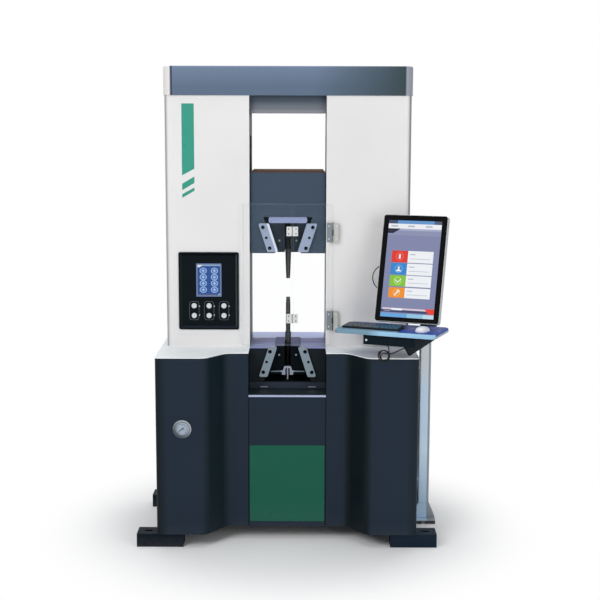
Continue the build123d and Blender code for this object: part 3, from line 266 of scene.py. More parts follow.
# %% Floor and lamps
FLOOR_HALF, FLOOR_Z = 9.0, -0.0006
LAMPS = (("key_left", (-3.2, -4.6, 4.3), (0, 0, 1.2), 3.0, 168),
         ("fill_right", (3.6, -4.6, 1.7), (0.2, 0, 1.0), 3.0, 78),
         ("top", (0.2, 0.6, 5.2), (0, 0, 1.0), 3.5, 100))


def lamp(name, place, aim_at, size, watts):
    """A square area lamp that faces a point."""
    light = bpy.data.lights.new(name, "AREA")
    light.size, light.energy = size, watts
    thing = linked(name, light)
    thing.location = place
    thing.rotation_euler = (Vector(place) - Vector(aim_at)).to_track_quat("Z", "Y").to_euler()


def mesh_of(name, points, faces):
    """A mesh of points and the faces between them."""
    mesh = bpy.data.meshes.new(name)
    mesh.from_pydata(points.tolist(), [], faces.tolist())
    return mesh


corners = np.array([(-1, -1, 0), (1, -1, 0), (1, 1, 0), (-1, 1, 0)]) * FLOOR_HALF + np.array([0, 0, FLOOR_Z])
floor = linked("studio_floor", mesh_of("studio_floor", corners, np.array([(0, 1, 2, 3)])))
floor.data.materials.append(floor_material())
floor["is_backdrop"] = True
for one in LAMPS:
    lamp(*one)
print("lamps", len(LAMPS))

# %% [markdown]
# ## Shared surface effects
# Powder paint, ground steel and handled plastic are never quite even. Four small node groups make that
# unevenness once and hand out plain values: a fine peel with wide clouds, streaks of grinding, marks of use,
# and dust that settles near the floor. The shaders themselves stay in each material, where their numbers can
# be read.

# %% Paint and steel groups


def effect(name, inputs, *outputs):
    """An empty shader node group with named sockets; every group reads a Place."""
    group = bpy.data.node_groups.new(name, "ShaderNodeTree")
    group.interface.new_socket(name="Place", in_out="INPUT", socket_type="NodeSocketVector")
    for title, value in inputs.items():
        kind = "NodeSocketVector" if isinstance(value, tuple) else "NodeSocketFloat"
        group.interface.new_socket(name=title, in_out="INPUT", socket_type=kind).default_value = value
    for title in outputs:
        group.interface.new_socket(name=title, in_out="OUTPUT", socket_type="NodeSocketFloat")
    return group, group.nodes.new("NodeGroupInput").outputs, group.nodes.new("NodeGroupOutput")


def paint_grain_group():
    """Fine peel of powder paint (Height) and wide clouds of its thickness (Cloud)."""
    group, give, take = effect("paint grain", {"Scale": 420.0}, "Height", "Cloud")
    peel = add(group, "TexNoise", {"Vector": give["Place"], "Scale": give["Scale"], "Detail": 2.0})
    cloud = add(group, "TexNoise", {"Vector": give["Place"], "Scale": 2.3, "Detail": 3.0})
    fill(take, {"Height": peel["Fac"], "Cloud": cloud["Fac"]})
    return group


def grinding_group():
    """Noise drawn out along one direction: the lines that a grinding belt leaves."""
    group, give, take = effect("grinding lines", {"Stretch": (1.0, 1.0, 1.0)}, "Line")
    drawn = add(group, "VectorMath", {0: give["Place"], 1: give["Stretch"]}, operation="MULTIPLY")
    noise = add(group, "TexNoise", {"Vector": drawn[0], "Scale": 1.0, "Detail": 4.0})
    fill(take, {"Line": noise["Fac"]})
    return group


PAINT_GRAIN, GRINDING = paint_grain_group(), grinding_group()
print("effects", PAINT_GRAIN.name, "and", GRINDING.name)

# %% Marks and dust groups


def use_marks_group():
    """Soft blotches from hands and cloths: high where the surface was touched."""
    group, give, take = effect("marks of use", {"Scale": 9.0}, "Mask")
    noise = add(group, "TexNoise", {"Vector": give["Place"], "Scale": give["Scale"], "Detail": 5.0,
                                    "Distortion": 0.6})
    step = add(group, "MapRange", {"Value": noise["Fac"], "From Min": 0.48, "From Max": 0.72},
               interpolation_type="SMOOTHSTEP")
    fill(take, {"Mask": step[0]})
    return group


def floor_dust_group():
    """Fine dust: a speckle times a share that falls from Most at the floor to nothing at the Reach."""
    group, give, take = effect("floor dust", {"Reach": 0.3, "Most": 0.1}, "Mask")
    height = add(group, "SeparateXYZ", {0: give["Place"]})["Z"]
    fall = add(group, "MapRange", {"Value": height, "From Max": give["Reach"], "To Min": give["Most"],
                                   "To Max": 0.0})
    noise = add(group, "TexNoise", {"Vector": give["Place"], "Scale": 60.0, "Detail": 6.0})
    speckle = add(group, "Math", {0: fall[0], 1: noise["Fac"]}, operation="MULTIPLY")
    fill(take, {"Mask": speckle[0]})
    return group


USE_MARKS, FLOOR_DUST = use_marks_group(), floor_dust_group()
print("effects", USE_MARKS.name, "and", FLOOR_DUST.name)

# %% [markdown]
# ## Finishes
# Three families cover nearly all of the machine: powder-painted sheet, ground or brushed steel, and moulded
# plastic. Each is one function with a few numbers, so two neighbouring parts differ only in those numbers.
# Colours are written as they look on a screen and turned into linear light, because shaders add up light.
# Where one CAD solid carries two colours, or a painted highlight, shade or reflection, a mask from its own
# coordinates or from the way its faces look lays the second colour over the first.

# %% Colours


def screen_colour(rgb):
    """Colour from 0 to 255 as it looks on a screen, turned into linear light."""
    c = np.array(rgb) / 255.0
    c = np.where(c <= 0.04045, c / 12.92, ((c + 0.055) / 1.055) ** 2.4)
    return (*c.tolist(), 1.0)


def shade(colour, factor):
    """The same colour, lighter or darker."""
    return tuple(min(1.0, c * factor) for c in colour[:3]) + (1.0,)


print("middle grey in linear light", round(screen_colour((128, 128, 128))[0], 3))

# %% A finish and its masks
MIX_FIRST, MIX_SECOND, MIX_RESULT = 6, 7, 2  # a Mix node's colour sockets


class Finish:
    """A material with its Principled shader, its colour so far and the object's own coordinates at hand."""

    def __init__(self, name, rgb, roughness, metallic=0.0, mirror=0.5):
        self.material = bpy.data.materials.new(name)
        self.material.use_nodes = True
        self.tree = self.material.node_tree
        self.shader = self.tree.nodes["Principled BSDF"]
        self.tint = screen_colour(rgb)
        fill(self.shader, {"Base Color": self.tint, "Roughness": roughness, "Metallic": metallic,
                           "Specular IOR Level": mirror})
        coordinates = add(self.tree, "TexCoord", {})
        self.place, self.outward = coordinates["Object"], coordinates["Normal"]

    def set(self, title, value):
        """Give the shader a plain value or another node's output."""
        fill(self.shader, {title: value})

    def group(self, group, **values):
        """Outputs of an effect with those inputs."""
        return add(self.tree, "Group", {"Place": self.place, **values}, node_tree=group)

    def span(self, value, low, high, start=0.0, end=1.0):
        """Stretch a value that runs from start to end so that it runs from low to high."""
        return add(self.tree, "MapRange", {"Value": value, "From Min": start, "From Max": end,
                                           "To Min": low, "To Max": high})[0]

    def along(self, vector, direction, start, end):
        """0 where a vector's length along a direction is under start, 1 where it is over end."""
        length = add(self.tree, "VectorMath", {0: vector, 1: direction}, operation="DOT_PRODUCT")["Value"]
        return self.span(length, 0.0, 1.0, start, end)

    def past(self, direction, start, end):
        """The mask along a direction for the places on the object."""
        return self.along(self.place, direction, start, end)

    def looking(self, direction, start, end):
        """The mask along a direction for the way the faces look."""
        return self.along(self.outward, direction, start, end)

    def facing(self, direction):
        """1 on faces that look along a direction."""
        return self.looking(direction, 0.80, 0.92)

    def band(self, direction, low, high, soft=0.0004):
        """1 between two lengths along a direction."""
        back = tuple(-d for d in direction)
        return self.both(self.past(direction, low - soft, low + soft),
                         self.past(back, -high - soft, -high + soft))

    def both(self, first, second):
        """1 where two masks are 1."""
        return add(self.tree, "Math", {0: first, 1: second}, operation="MULTIPLY")[0]

    def lay(self, mask, colour):
        """Lay a colour in linear light, or another node's colour, over the present one by a mask."""
        values = {"Factor": mask, MIX_FIRST: self.tint, MIX_SECOND: colour}
        self.tint = add(self.tree, "Mix", values, data_type="RGBA")[MIX_RESULT]
        self.set("Base Color", self.tint)

    def over(self, mask, rgb):
        """Lay a screen colour over the present one by a mask."""
        self.lay(mask, screen_colour(rgb))

    def clouds(self, mask, depth):
        """Let the colour waver round itself by a share."""
        colour = self.tint
        self.tint = shade(colour, 1 - depth)
        self.lay(mask, shade(colour, 1 + depth))

    def worn(self, title, clean, used, scale=9.0):
        """Let the marks of use change one of the shader's values."""
        self.set(title, self.span(self.group(USE_MARKS, Scale=scale)["Mask"], clean, used))

    def bump(self, height, strength, distance):
        """Let a height change the surface's normal."""
        values = {"Height": height, "Strength": strength, "Distance": distance}
        self.set("Normal", add(self.tree, "Bump", values)[0])


print("finish class ready")

# %% Finish families
DUST = (150, 148, 142)


def painted(name, rgb, roughness=0.42, mirror=0.5, grain=420.0, relief=0.00012, cloud=0.08, dust=0.0):
    """Powder paint: fine peel, faint clouds, smoother where it was handled, dusty near the floor."""
    finish = Finish(name, rgb, roughness, 0.0, mirror)
    peel = finish.group(PAINT_GRAIN, Scale=grain)
    finish.clouds(peel["Cloud"], cloud)
    if dust:
        finish.over(finish.group(FLOOR_DUST, Reach=dust)["Mask"], DUST)
    finish.worn("Roughness", roughness + 0.06, roughness - 0.08)
    finish.bump(peel["Height"], 0.35, relief)
    return finish


def ground(name, rgb, roughness=0.32, stretch=(40.0, 40.0, 900.0), contrast=0.16, metallic=1.0, mirror=0.5):
    """Ground steel: lines along one direction in colour, gloss and relief."""
    finish = Finish(name, rgb, roughness, metallic, mirror)
    line = finish.group(GRINDING, Stretch=stretch)["Line"]
    finish.clouds(line, contrast)
    finish.worn("Roughness", roughness + 0.05, roughness - 0.06, 22.0)
    finish.bump(line, 0.25, 0.0002)
    return finish


def moulded(name, rgb, roughness=0.5, mirror=0.5, coat=0.0):
    """Moulded plastic: fine spark grain and shiny handled spots."""
    finish = Finish(name, rgb, roughness, 0.0, mirror)
    finish.set("Coat Weight", coat)
    peel = finish.group(PAINT_GRAIN, Scale=1500.0)
    finish.clouds(peel["Cloud"], 0.08)
    finish.worn("Roughness", roughness + 0.05, roughness - 0.12, 30.0)
    finish.bump(peel["Height"], 0.3, 0.00008)
    return finish


def dress(finish, *nodes):
    """Give CAD nodes a finish."""
    for name in nodes:
        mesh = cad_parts[name].data
        mesh.materials.clear()
        mesh.materials.append(finish.material)
    return finish


print("finish families ready")

# %% [markdown]
# ## Painted sheet and castings
# Columns and deck are white, everything that carries load is a blue slate and the skirts are blue-black.
# Dark powder paint is matt, so its mirror share is low. The grip block's top and the table behind it are
# lavender: a painted reflection of the cool sky. The cover at the top is paler towards its upper edge and at
# its ends, a painted highlight, and darker over its right part, a painted shade. The columns' front corners
# and the bends and ends of the base carry painted shade.

# %% Columns, deck and base
UP, TO_FRONT, RIGHT, LEFT = (0.0, 0.0, 1.0), (0.0, -1.0, 0.0), (1.0, 0.0, 0.0), (-1.0, 0.0, 0.0)
COLUMN_CORNER_SHADE, BASE_SHADE_REACH, BASE_SEAM, BASE_END_SHADE = (0.440, 0.450), 0.5, (0.1842, 0.1900), (0.572, 0.612)
column = dress(painted("column_white", (225, 223, 222), 0.38), "column_cover_left", "column_cover_right")
# Painted shade on the outer front corners of the columns, a grey band on their side faces, darker on the
# right.
for side, corner, rgb in ((LEFT, (-0.7071, -0.7071, 0.0), (150, 153, 158)),
                          (RIGHT, (0.7071, -0.7071, 0.0), (118, 122, 126))):
    column.over(column.both(column.looking(side, 0.55, 0.80), column.past(corner, *COLUMN_CORNER_SHADE)), rgb)
dress(painted("deck_white", (233, 237, 239), 0.4), "deck_plates")
base = dress(painted("base_blue_black", (28, 40, 53), 0.42, 0.12, dust=0.12),
             "base_cover_left", "base_cover_right", "base_rear_panel", "centre_panel")
# Painted shade on the faces of the base's bends that look to either side, darker on the left.
for side, rgb in ((LEFT, (10, 22, 26)), (RIGHT, (18, 32, 39))):
    base.over(base.both(base.looking(side, 0.15, 0.55), base.band(RIGHT, -BASE_SHADE_REACH, BASE_SHADE_REACH)), rgb)
    base.over(base.band(side, *BASE_SEAM), (6, 14, 15))
# Painted shade on the base's rounded outer ends, darker on the left.
for side, rgb in ((LEFT, (16, 24, 28)), (RIGHT, (22, 33, 40))):
    base.over(base.past(side, *BASE_END_SHADE), rgb)
dress(painted("service_green", (20, 86, 68), 0.40, 0.15, dust=0.2), "service_panel")
print("columns, deck and base dressed")

# %% Cover, crosshead and grip block
COVER_TOP_HIGHLIGHT, COVER_SHADE, COVER_JOINT, COVER_END_HIGHLIGHT = (2.20, 2.30), (0.12, 0.56), (0.558, 0.567), (0.566, 0.572)
LIP_TOP, BLOCK_SKY_REFLECTION, BLOCK_STEP, BLOCK_BACK = (0.7625, 0.7615), (0.80, 0.82), (-0.04, -0.05), (-0.172, -0.176)
BEAM_RUN = (0.005, 0.055)
cover = dress(painted("cover_slate", (91, 107, 129), 0.36, 0.2), "top_cover")
# Painted highlight towards the cover's upper edge, then painted shade over its right part.
cover.over(cover.past(UP, *COVER_TOP_HIGHLIGHT), (109, 126, 150))
cover.over(cover.past(RIGHT, *COVER_SHADE), (50, 66, 70))
cover.over(cover.band(LEFT, *COVER_JOINT), (52, 60, 76))
# Painted highlight on the cover's rounded ends, brightest at the left end.
cover.over(cover.past(LEFT, *COVER_END_HIGHLIGHT), (222, 219, 217))
cover.over(cover.past(RIGHT, *COVER_END_HIGHLIGHT), (150, 154, 166))
dress(painted("head_slate", (60, 74, 90), 0.40, 0.15), "crosshead_body")
block = dress(painted("block_slate", (18, 27, 33), 0.42, 0.12), "lower_grip_block")
block.over(block.past(UP, *LIP_TOP), (46, 54, 65))
# Painted reflection of the cool sky on the block's upward faces: lavender, darker in two steps towards the
# back.
top = block.both(block.facing(UP), block.past(UP, *BLOCK_SKY_REFLECTION))
block.over(top, (140, 147, 200))
block.over(block.both(top, block.past(TO_FRONT, *BLOCK_STEP)), (120, 122, 176))
block.over(block.both(top, block.past(TO_FRONT, *BLOCK_BACK)), (84, 88, 134))
dress(painted("strip_dark", (60, 68, 80), 0.5, 0.2), "column_inner_strips")
beam = dress(painted("beam_grey", (132, 135, 142), 0.5, 0.2), "top_beam")
beam_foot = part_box("top_beam")[0][2]
beam.over(beam.past(UP, *[beam_foot + rise for rise in BEAM_RUN]), (74, 86, 99))
dress(painted("frame_grey", (70, 76, 84), 0.55, 0.3), "base_frame", "power_pack", "lift_cylinders")
dress(painted("primer_brown", (92, 62, 48), 0.7, 0.2, cloud=0.25), "crosshead_top_plate")
# The table plate's lavender is a painted reflection of the cool sky.
dress(painted("table_lavender", (186, 198, 242), 0.38, 0.2), "table_plate")
print("cover, crosshead and grip block dressed")

# %% Feet, console post and gauge
FEET_RUN, GAUGE_RUN = (0.30, 0.60), (-0.030, 0.028)
GAUGE_AT, GAUGE_LIGHT = np.array([-0.498, 0.0, 0.5865]), (0.6, 0.0, 0.8)
POST_HIGH, POST_LOW, POST_SIDE_SHADE, POST_PAD = (0.70, 0.82), (0.38, 0.10), (0.710, 0.713), (0.0165, 0.0160)
feet = dress(painted("foot_black", (11, 21, 32), 0.5, 0.08, dust=0.06), "foot_bars")
feet.over(feet.past(RIGHT, *FEET_RUN), (20, 33, 48))
# The post's blue tint is a painted reflection of the sky. It is paler high up and bluer low down, its right
# side face carries painted shade and its foot is dark.
post = dress(painted("post_steel", (206, 230, 255), 0.36, 0.8, dust=0.15), "console_post")
post.set("Metallic", 0.25)
for way, span, rgb in ((UP, POST_HIGH, (214, 220, 224)), (UP, POST_LOW, (172, 200, 224)),
                       (RIGHT, POST_SIDE_SHADE, (140, 147, 156)), (UP, POST_PAD, (24, 26, 30))):
    post.over(post.past(way, *span), rgb)
dress(painted("arm_black", (22, 31, 37), 0.5, 0.01), "swivel_arm")
gauge = dress(painted("gauge_grey", (74, 86, 96), 0.36, 0.3), "gauge_case")
# Painted highlight over the upper right of the gauge case; faces that look away from the front stay dark
# grey.
lit = tuple(GAUGE_AT @ np.array(GAUGE_LIGHT) + shift for shift in GAUGE_RUN)
gauge.over(gauge.past(GAUGE_LIGHT, *lit), (166, 174, 179))
gauge.over(gauge.looking(TO_FRONT, 0.90, 0.60), (70, 82, 90))
dress(painted("needle_black", (16, 16, 18), 0.4, 0.3), "gauge_needle")
print("feet, post and gauge dressed")

# %% [markdown]
# ## Steel
# The guide plates are ground, with blackened socket screws sunk in them. The screws are part of the same
# solid, so a mask picks the faces that look to the front but lie behind the plate's own front. Jaws are
# blackened all over.

# %% Steel nodes
HINGE_X, FOLD_X, KNUCKLE_SHADE_HALF, FOLD_HALF = 0.220, 0.022, 0.0022, 0.0016
WEDGE = math.radians(18)
INNER_EDGE = (math.cos(WEDGE), 0.0, math.sin(WEDGE))
EDGE_HIGHLIGHT, SUNK_FROM, SUNK_TO = (0.3770, 0.3890), 0.0003, 0.0007
HUB_ARM, HUB_GROOVE, HUB_CROWN = (0.032, 0.034), (0.0056, 0.0112), (0.011, 0.013)
JAW_LINES, YOKE_LINES = (30.0, 30.0, 700.0), (20.0, 400.0, 700.0)
ledge = dress(ground("ledge_steel", (170, 180, 210), 0.34, (8.0, 900.0, 900.0)), "table_ledge")
bare = ledge.facing(TO_FRONT)
steel_tint = ledge.tint
ledge.tint = screen_colour((26, 38, 44))
ledge.lay(bare, steel_tint)
ledge.set("Metallic", bare)
# The upper plates carry a painted highlight along the left plate's inner edge.
for name, front, rgb in (("upper_guide_plates", 0.062, (146, 159, 182)),
                         ("lower_guide_plates", 0.132, (124, 138, 148))):
    plates = dress(ground(name + "_steel", rgb, 0.36, (300.0, 300.0, 300.0), mirror=0.03), name)
    sunk = plates.both(plates.facing(TO_FRONT), plates.past(TO_FRONT, front - SUNK_FROM, front - SUNK_TO))
    if name == "upper_guide_plates":
        plates.over(plates.band(INNER_EDGE, *EDGE_HIGHLIGHT), (206, 214, 230))
    plates.over(sunk, (8, 10, 18))
    plates.set("Metallic", plates.span(sunk, 1.0, 0.0))
dress(ground("jaw_black", (32, 40, 51), 0.5, JAW_LINES, 0.2, 0.0, 0.12), "upper_jaw_left", "upper_jaw_right")
jaw = dress(ground("jaw_dark", (9, 16, 21), 0.5, JAW_LINES, 0.2, 0.0, 0.03),
            "lower_jaw_left", "lower_jaw_right")
# Painted reflection of the sky on the lower jaws' upward faces.
jaw.over(jaw.facing(UP), (100, 104, 142))
# The upper yoke's lavender is a painted reflection of the sky.
dress(ground("yoke_lavender", (146, 156, 192), 0.28, YOKE_LINES), "upper_yoke")
pull = dress(ground("yoke_steel", (138, 145, 158), 0.30, YOKE_LINES), "lower_yoke")
hub_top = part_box("lower_yoke")[1][2]
crown = pull.past(UP, *[hub_top - drop for drop in HUB_CROWN])
for side in (LEFT, RIGHT):
    pull.over(pull.past(side, *HUB_ARM), (88, 98, 106))
    pull.over(pull.both(pull.band(side, *HUB_GROOVE), crown), (26, 30, 46))
dress(ground("rod_chrome", (215, 218, 222), 0.12, (300.0, 300.0, 8.0), 0.05), "lift_rods", "guide_columns")
dress(ground("turned_bar", (74, 74, 76), 0.42, (6.0, 6.0, 1400.0), 0.16, 0.6, 0.2),
      "specimen_upper", "specimen_lower")
# Painted shade: a dark band along each hinge's knuckle.
for name, rgb in (("guard_hinge_fixed", (178, 180, 174)), ("guard_hinge_leaves", (124, 131, 138))):
    leaf = dress(ground(name + "_steel", rgb, 0.38, (500.0, 30.0, 30.0)), name)
    leaf.over(leaf.band(RIGHT, HINGE_X - KNUCKLE_SHADE_HALF, HINGE_X + KNUCKLE_SHADE_HALF), (52, 56, 60))
print("steel nodes dressed")

# %% [markdown]
# ## Plastics
# Panel, buttons, monitor and hinges of the clear guard are moulded. The tray's front edge carries a band of
# paler blue that turns from grey-blue at its left end to a bright sky blue, laid on by a mask of the faces
# that look to the front of the console.

# %% Plastic nodes
TRAY_PALE, TRAY_FRONT, TRAY_RUN = (112, 142, 164), (0.176, 0.184), (0.50, 0.56)
TRAY_LEFT, TRAY_RIGHT, TRAY_END = (-0.359, -0.354), (-0.645, -0.635), (0.011, 0.009)
fold = dress(moulded("fold_hinge_white", (214, 215, 213), 0.4, 0.3), "fold_hinge_left", "fold_hinge_right")
fold.over(fold.band(RIGHT, FOLD_X - FOLD_HALF, FOLD_X + FOLD_HALF), (84, 88, 92))
bezel = dress(moulded("panel_black", (9, 17, 22), 0.4, 0.06), "control_bezel")
# Painted highlight on the bezel's faces that look left, right and up, brightest on the left.
for side, rgb in ((LEFT, (62, 70, 72)), (RIGHT, (34, 42, 40)), (UP, (30, 38, 46))):
    bezel.over(bezel.looking(side, 0.25, 0.60), rgb)
dress(moulded("button_pale", (206, 210, 212), 0.3, coat=0.4), *[f"button_{n}" for n in range(1, 7)])
tray = dress(moulded("tray_blue", (44, 72, 152), 0.4, 0.08), "tray")
nose = tray.looking(CONSOLE_FRONT, 0.10, 0.20)
apron = tray.both(tray.past(CONSOLE_FRONT, *TRAY_FRONT), tray.past(CONSOLE_LEFT, *TRAY_RIGHT))
for pale in (apron, tray.past(CONSOLE_LEFT, *TRAY_LEFT)):
    tray.over(pale, TRAY_PALE)
tray.over(nose, (116, 147, 166))
tray.over(tray.both(nose, tray.past(CONSOLE_RIGHT, *TRAY_RUN)), (150, 192, 220))
tray_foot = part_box("tray")[0][2]
low_half = tray.past(UP, *[tray_foot + rise for rise in TRAY_END])
tray.over(tray.both(tray.facing(CONSOLE_RIGHT), low_half), (160, 170, 186))
dress(moulded("monitor_grey", (178, 182, 184), 0.42, 0.3), "monitor_case")
lead_black = moulded("lead_black", (18, 18, 20), 0.45, 0.2)
for cord in (loop_lead, coil_lead):
    cord.data.materials.append(lead_black.material)
print("finishes", len(bpy.data.materials))

# %% [markdown]
# ## Clear pieces
# The guard is clear plastic sheet and the gauge has a glass. A thin sheet hardly bends what is seen through
# it, so a low alpha with a glossy skin looks right and exports well. The screens are dark glossy glass.

# %% Clear sheet and dark glass


def clear(name, rgb, alpha, roughness, mirror=0.5):
    """Thin clear sheet: mostly see-through, with a glossy skin and faint wiping marks."""
    finish = Finish(name, rgb, roughness, 0.0, mirror)
    finish.worn("Alpha", alpha, alpha * 1.5, 5.0)
    return finish


def dark_glass(name, rgb):
    """Black glass in front of a screen, with faint finger marks in its gloss."""
    finish = Finish(name, rgb, 0.08, 0.0, 0.012)
    finish.worn("Roughness", 0.07, 0.16, 16.0)
    return finish


dress(clear("guard_clear", (180, 200, 206), 0.008, 0.06, 0.04), "guard_sheet_left", "guard_sheet_right")
dress(clear("gauge_glass", (235, 242, 245), 0.06, 0.03), "gauge_glass")
dress(dark_glass("monitor_glass", (5, 5, 7)), "monitor_screen")
dress(dark_glass("panel_glass", (54, 92, 160)), "control_screen")
print("clear pieces done")

# %% [markdown]
# ## Surfaces from numbers
# Every piece from here on is a grid of points worked out with numpy: a formula gives all points at once, and
# quads join neighbours on the grid. A closed piece is mostly a stack of rings whose first and last ring
# shrink to a point.

# %% Mesh helpers


def patch(grid, wrap=False):
    """Quads over a grid of points; wrap joins the last column to the first."""
    rows, cols = grid.shape[:2]
    index = np.arange(rows * cols).reshape(rows, cols)
    if wrap:
        index = np.concatenate([index, index[:, :1]], 1)
    quads = np.stack([index[:-1, :-1], index[:-1, 1:], index[1:, 1:], index[1:, :-1]], -1)
    return grid.reshape(-1, 3), quads.reshape(-1, 4)


def joined(patches):
    """Points and faces of several patches in one list each."""
    starts = np.cumsum([0] + [len(points) for points, _ in patches[:-1]])
    faces = np.concatenate([quads + start for (_, quads), start in zip(patches, starts)])
    return np.concatenate([points for points, _ in patches]), faces


def placed(name, mesh, body, finish, wall=0.0):
    """An object of that mesh with its finish and wall, riding on a body."""
    mesh.materials.append(finish.material)
    thing = linked(name, mesh)
    if wall:
        solid = thing.modifiers.new("wall", "SOLIDIFY")
        solid.thickness, solid.offset = wall, 0.0
    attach(thing, body)
    return thing


def piece(name, patches, body, finish, smooth=False, wall=0.0):
    """One object from several patches: merged, turned outwards, given its wall and its finish."""
    mesh = mesh_of(name, *joined(patches))
    work = bmesh.new()
    work.from_mesh(mesh)
    bmesh.ops.remove_doubles(work, verts=work.verts, dist=1e-6)
    bmesh.ops.dissolve_degenerate(work, edges=work.edges, dist=1e-7)
    bmesh.ops.recalc_face_normals(work, faces=work.faces)
    work.to_mesh(mesh)
    work.free()
    mesh.polygons.foreach_set("use_smooth", np.full(len(mesh.polygons), smooth))
    return placed(name, mesh, body, finish, wall)


print("mesh helpers ready")

# %% Ring helpers


def superellipse(count, half_w, half_h, power):
    """Points round a rounded rectangle: cosine and sine raised to 2 over the power, times the half sizes."""
    t = (np.arange(count) + 0.5) * 2 * math.pi / count
    c, s = np.cos(t), np.sin(t)
    return half_w * np.sign(c) * np.abs(c) ** (2 / power), half_h * np.sign(s) * np.abs(s) ** (2 / power)


def stack(rings):
    """Close a stack of rings with a point at each end."""
    first = np.broadcast_to(rings[:1].mean(1, keepdims=True), rings[:1].shape)
    last = np.broadcast_to(rings[-1:].mean(1, keepdims=True), rings[-1:].shape)
    return np.concatenate([first, rings, last], 0)


print("ring helpers ready")

# %% [markdown]
# ## The tie on the coil
# A short plastic band holds the coil's turns together. It is a rectangle carried round the bundle: inner
# edge, outer edge and back again at every point of a rounded outline that stands across the turns.

# %% Coil tie
TIE_ANGLE, TIE_W, TIE_HALF, TIE_WALL, TIE_Y = math.radians(150), 0.0055, 0.0050, 0.0012, -0.0027


def tie_band():
    """Four corners of the band's section at every point of a rounded outline round the bundle."""
    u, v = superellipse(32, 1.0, 1.0, 3.0)
    half = TIE_HALF + TIE_WALL * np.array([0, 1, 1, 0, 0])[:, None]
    run = np.array([-1, -1, 1, 1, -1])[:, None] * TIE_W / 2 * np.ones_like(u)
    outward = COIL_R + half * u
    c, s = math.cos(TIE_ANGLE), math.sin(TIE_ANGLE)
    return COIL_AT + np.stack([outward * c - run * s, TIE_Y + half * v, outward * s + run * c], -1)


tie = piece("coil_tie", [patch(on_console(tie_band()), True)], "console", lead_black)
print("tie", len(tie.data.polygons), "faces")

# %% [markdown]
# ## Stripes on the left column
# Three slanting green bars run down the front of the left column. On the machine they are cut film, so each
# is a four-cornered sheet a few tenths of a millimetre thick, laid on the column's front face.

# %% Column stripes
COLUMN_FRONT, FILM = -0.066, 0.0004
STRIPE_X = np.array([-0.515, -0.455])
STRIPES = [(1.7750, 1.8076, 2.1208, 2.1208), (1.7030, 1.7390, 1.7350, 1.7700),
           (1.6660, 1.7010, 1.6840, 1.7165)]


def stripe(low_left, low_right, high_left, high_right):
    """Straight blend of four corner heights across and up the bar."""
    across, up = np.meshgrid(np.linspace(0, 1, 2), np.linspace(0, 1, 2))
    low = low_left + (low_right - low_left) * across
    high = high_left + (high_right - high_left) * across
    return np.stack([STRIPE_X[0] + (STRIPE_X[1] - STRIPE_X[0]) * across,
                     np.full_like(across, COLUMN_FRONT - FILM / 2), low + (high - low) * up], -1)


film = painted("stripe_film", (36, 144, 122), 0.3, grain=900.0, relief=0.00004)
for number, heights in enumerate(STRIPES, 1):
    piece(f"column_stripe_{number}", [patch(stripe(*heights))], "machine", film, wall=FILM)
print("stripes", len(STRIPES))

# %% [markdown]
# ## Lit screens
# What a screen shows is light, not paint. Flat shapes lie in thin layers in front of the glass, each with
# its colour as a mesh attribute, and one kind of material lets that colour glow. All places are shares of the
# lit field, so the picture can be laid out on squared paper.

# %% Screen helpers
GLASS_GAP, LAYER, SKIN, BLACK = 0.0002, 0.00012, 0.00008, (0, 0, 0, 1)


def glow(name, strength):
    """Material that gives off the mesh's own colours, with the faint grid of a screen's cells."""
    finish = Finish(name, (8, 8, 9), 0.25, 0.0, 0.05)
    tone = add(finish.tree, "VertexColor", {}, layer_name="tone")["Color"]
    cells = finish.span(finish.group(PAINT_GRAIN, Scale=700.0)["Height"], 0.0, 0.14)
    dim = add(finish.tree, "Mix", {"Factor": cells, MIX_FIRST: tone, MIX_SECOND: BLACK},
              data_type="RGBA", blend_type="MULTIPLY")
    finish.set("Emission Color", dim[MIX_RESULT])
    finish.set("Emission Strength", strength)
    return finish


def quad(*corners):
    """Flat four-cornered shape from shares across and up, in order round it."""
    p = np.array([corners[0], corners[1], corners[3], corners[2]], float)
    return np.stack([p[:, 0], np.zeros(4), p[:, 1]], -1).reshape(2, 2, 3)


def rect(x0, x1, z0, z1):
    """Flat upright rectangle."""
    return quad((x0, z0), (x1, z0), (x1, z1), (x0, z1))


def ring(x, z, inner, outer, stretch=1.0, count=32):
    """Flat ring: two circles, their width stretched, round one centre."""
    t = np.linspace(0, 2 * math.pi, count + 1)
    r = np.array([inner, outer])[:, None]
    return np.stack([x + r * np.cos(t) * stretch, np.zeros((2, count + 1)), z + r * np.sin(t)], -1)


def lit_field(name, layout, width, height, place, body, finish):
    """Layers of coloured patches in shares of the field, each level a little further to the front."""
    patches, tones = [], []
    for level, rgb, grid in layout:
        points, quads = patch(grid)
        points = (points - 0.5) * np.array([width, 0, height]) + np.array([0, -GLASS_GAP - LAYER * level, 0])
        patches.append((place(points), quads))
        tones.append(np.tile(screen_colour(rgb), (4 * len(quads), 1)))
    mesh = mesh_of(name, *joined(patches))
    layer = mesh.color_attributes.new("tone", "FLOAT_COLOR", "CORNER")
    layer.data.foreach_set("color", np.concatenate(tones).astype(np.float32).ravel())
    return placed(name, mesh, body, finish, SKIN)


print("screen helpers ready")

# %% [markdown]
# ## The monitor's picture
# The upright monitor shows a start page: a bar and tabs at the top, four rows of a coloured tile with a
# plain sign beside a white box with two grey lines, and thin bars at the foot. The signs are plain shapes: a
# bar in a ring, a pin with a round head, a tick and a spanner.

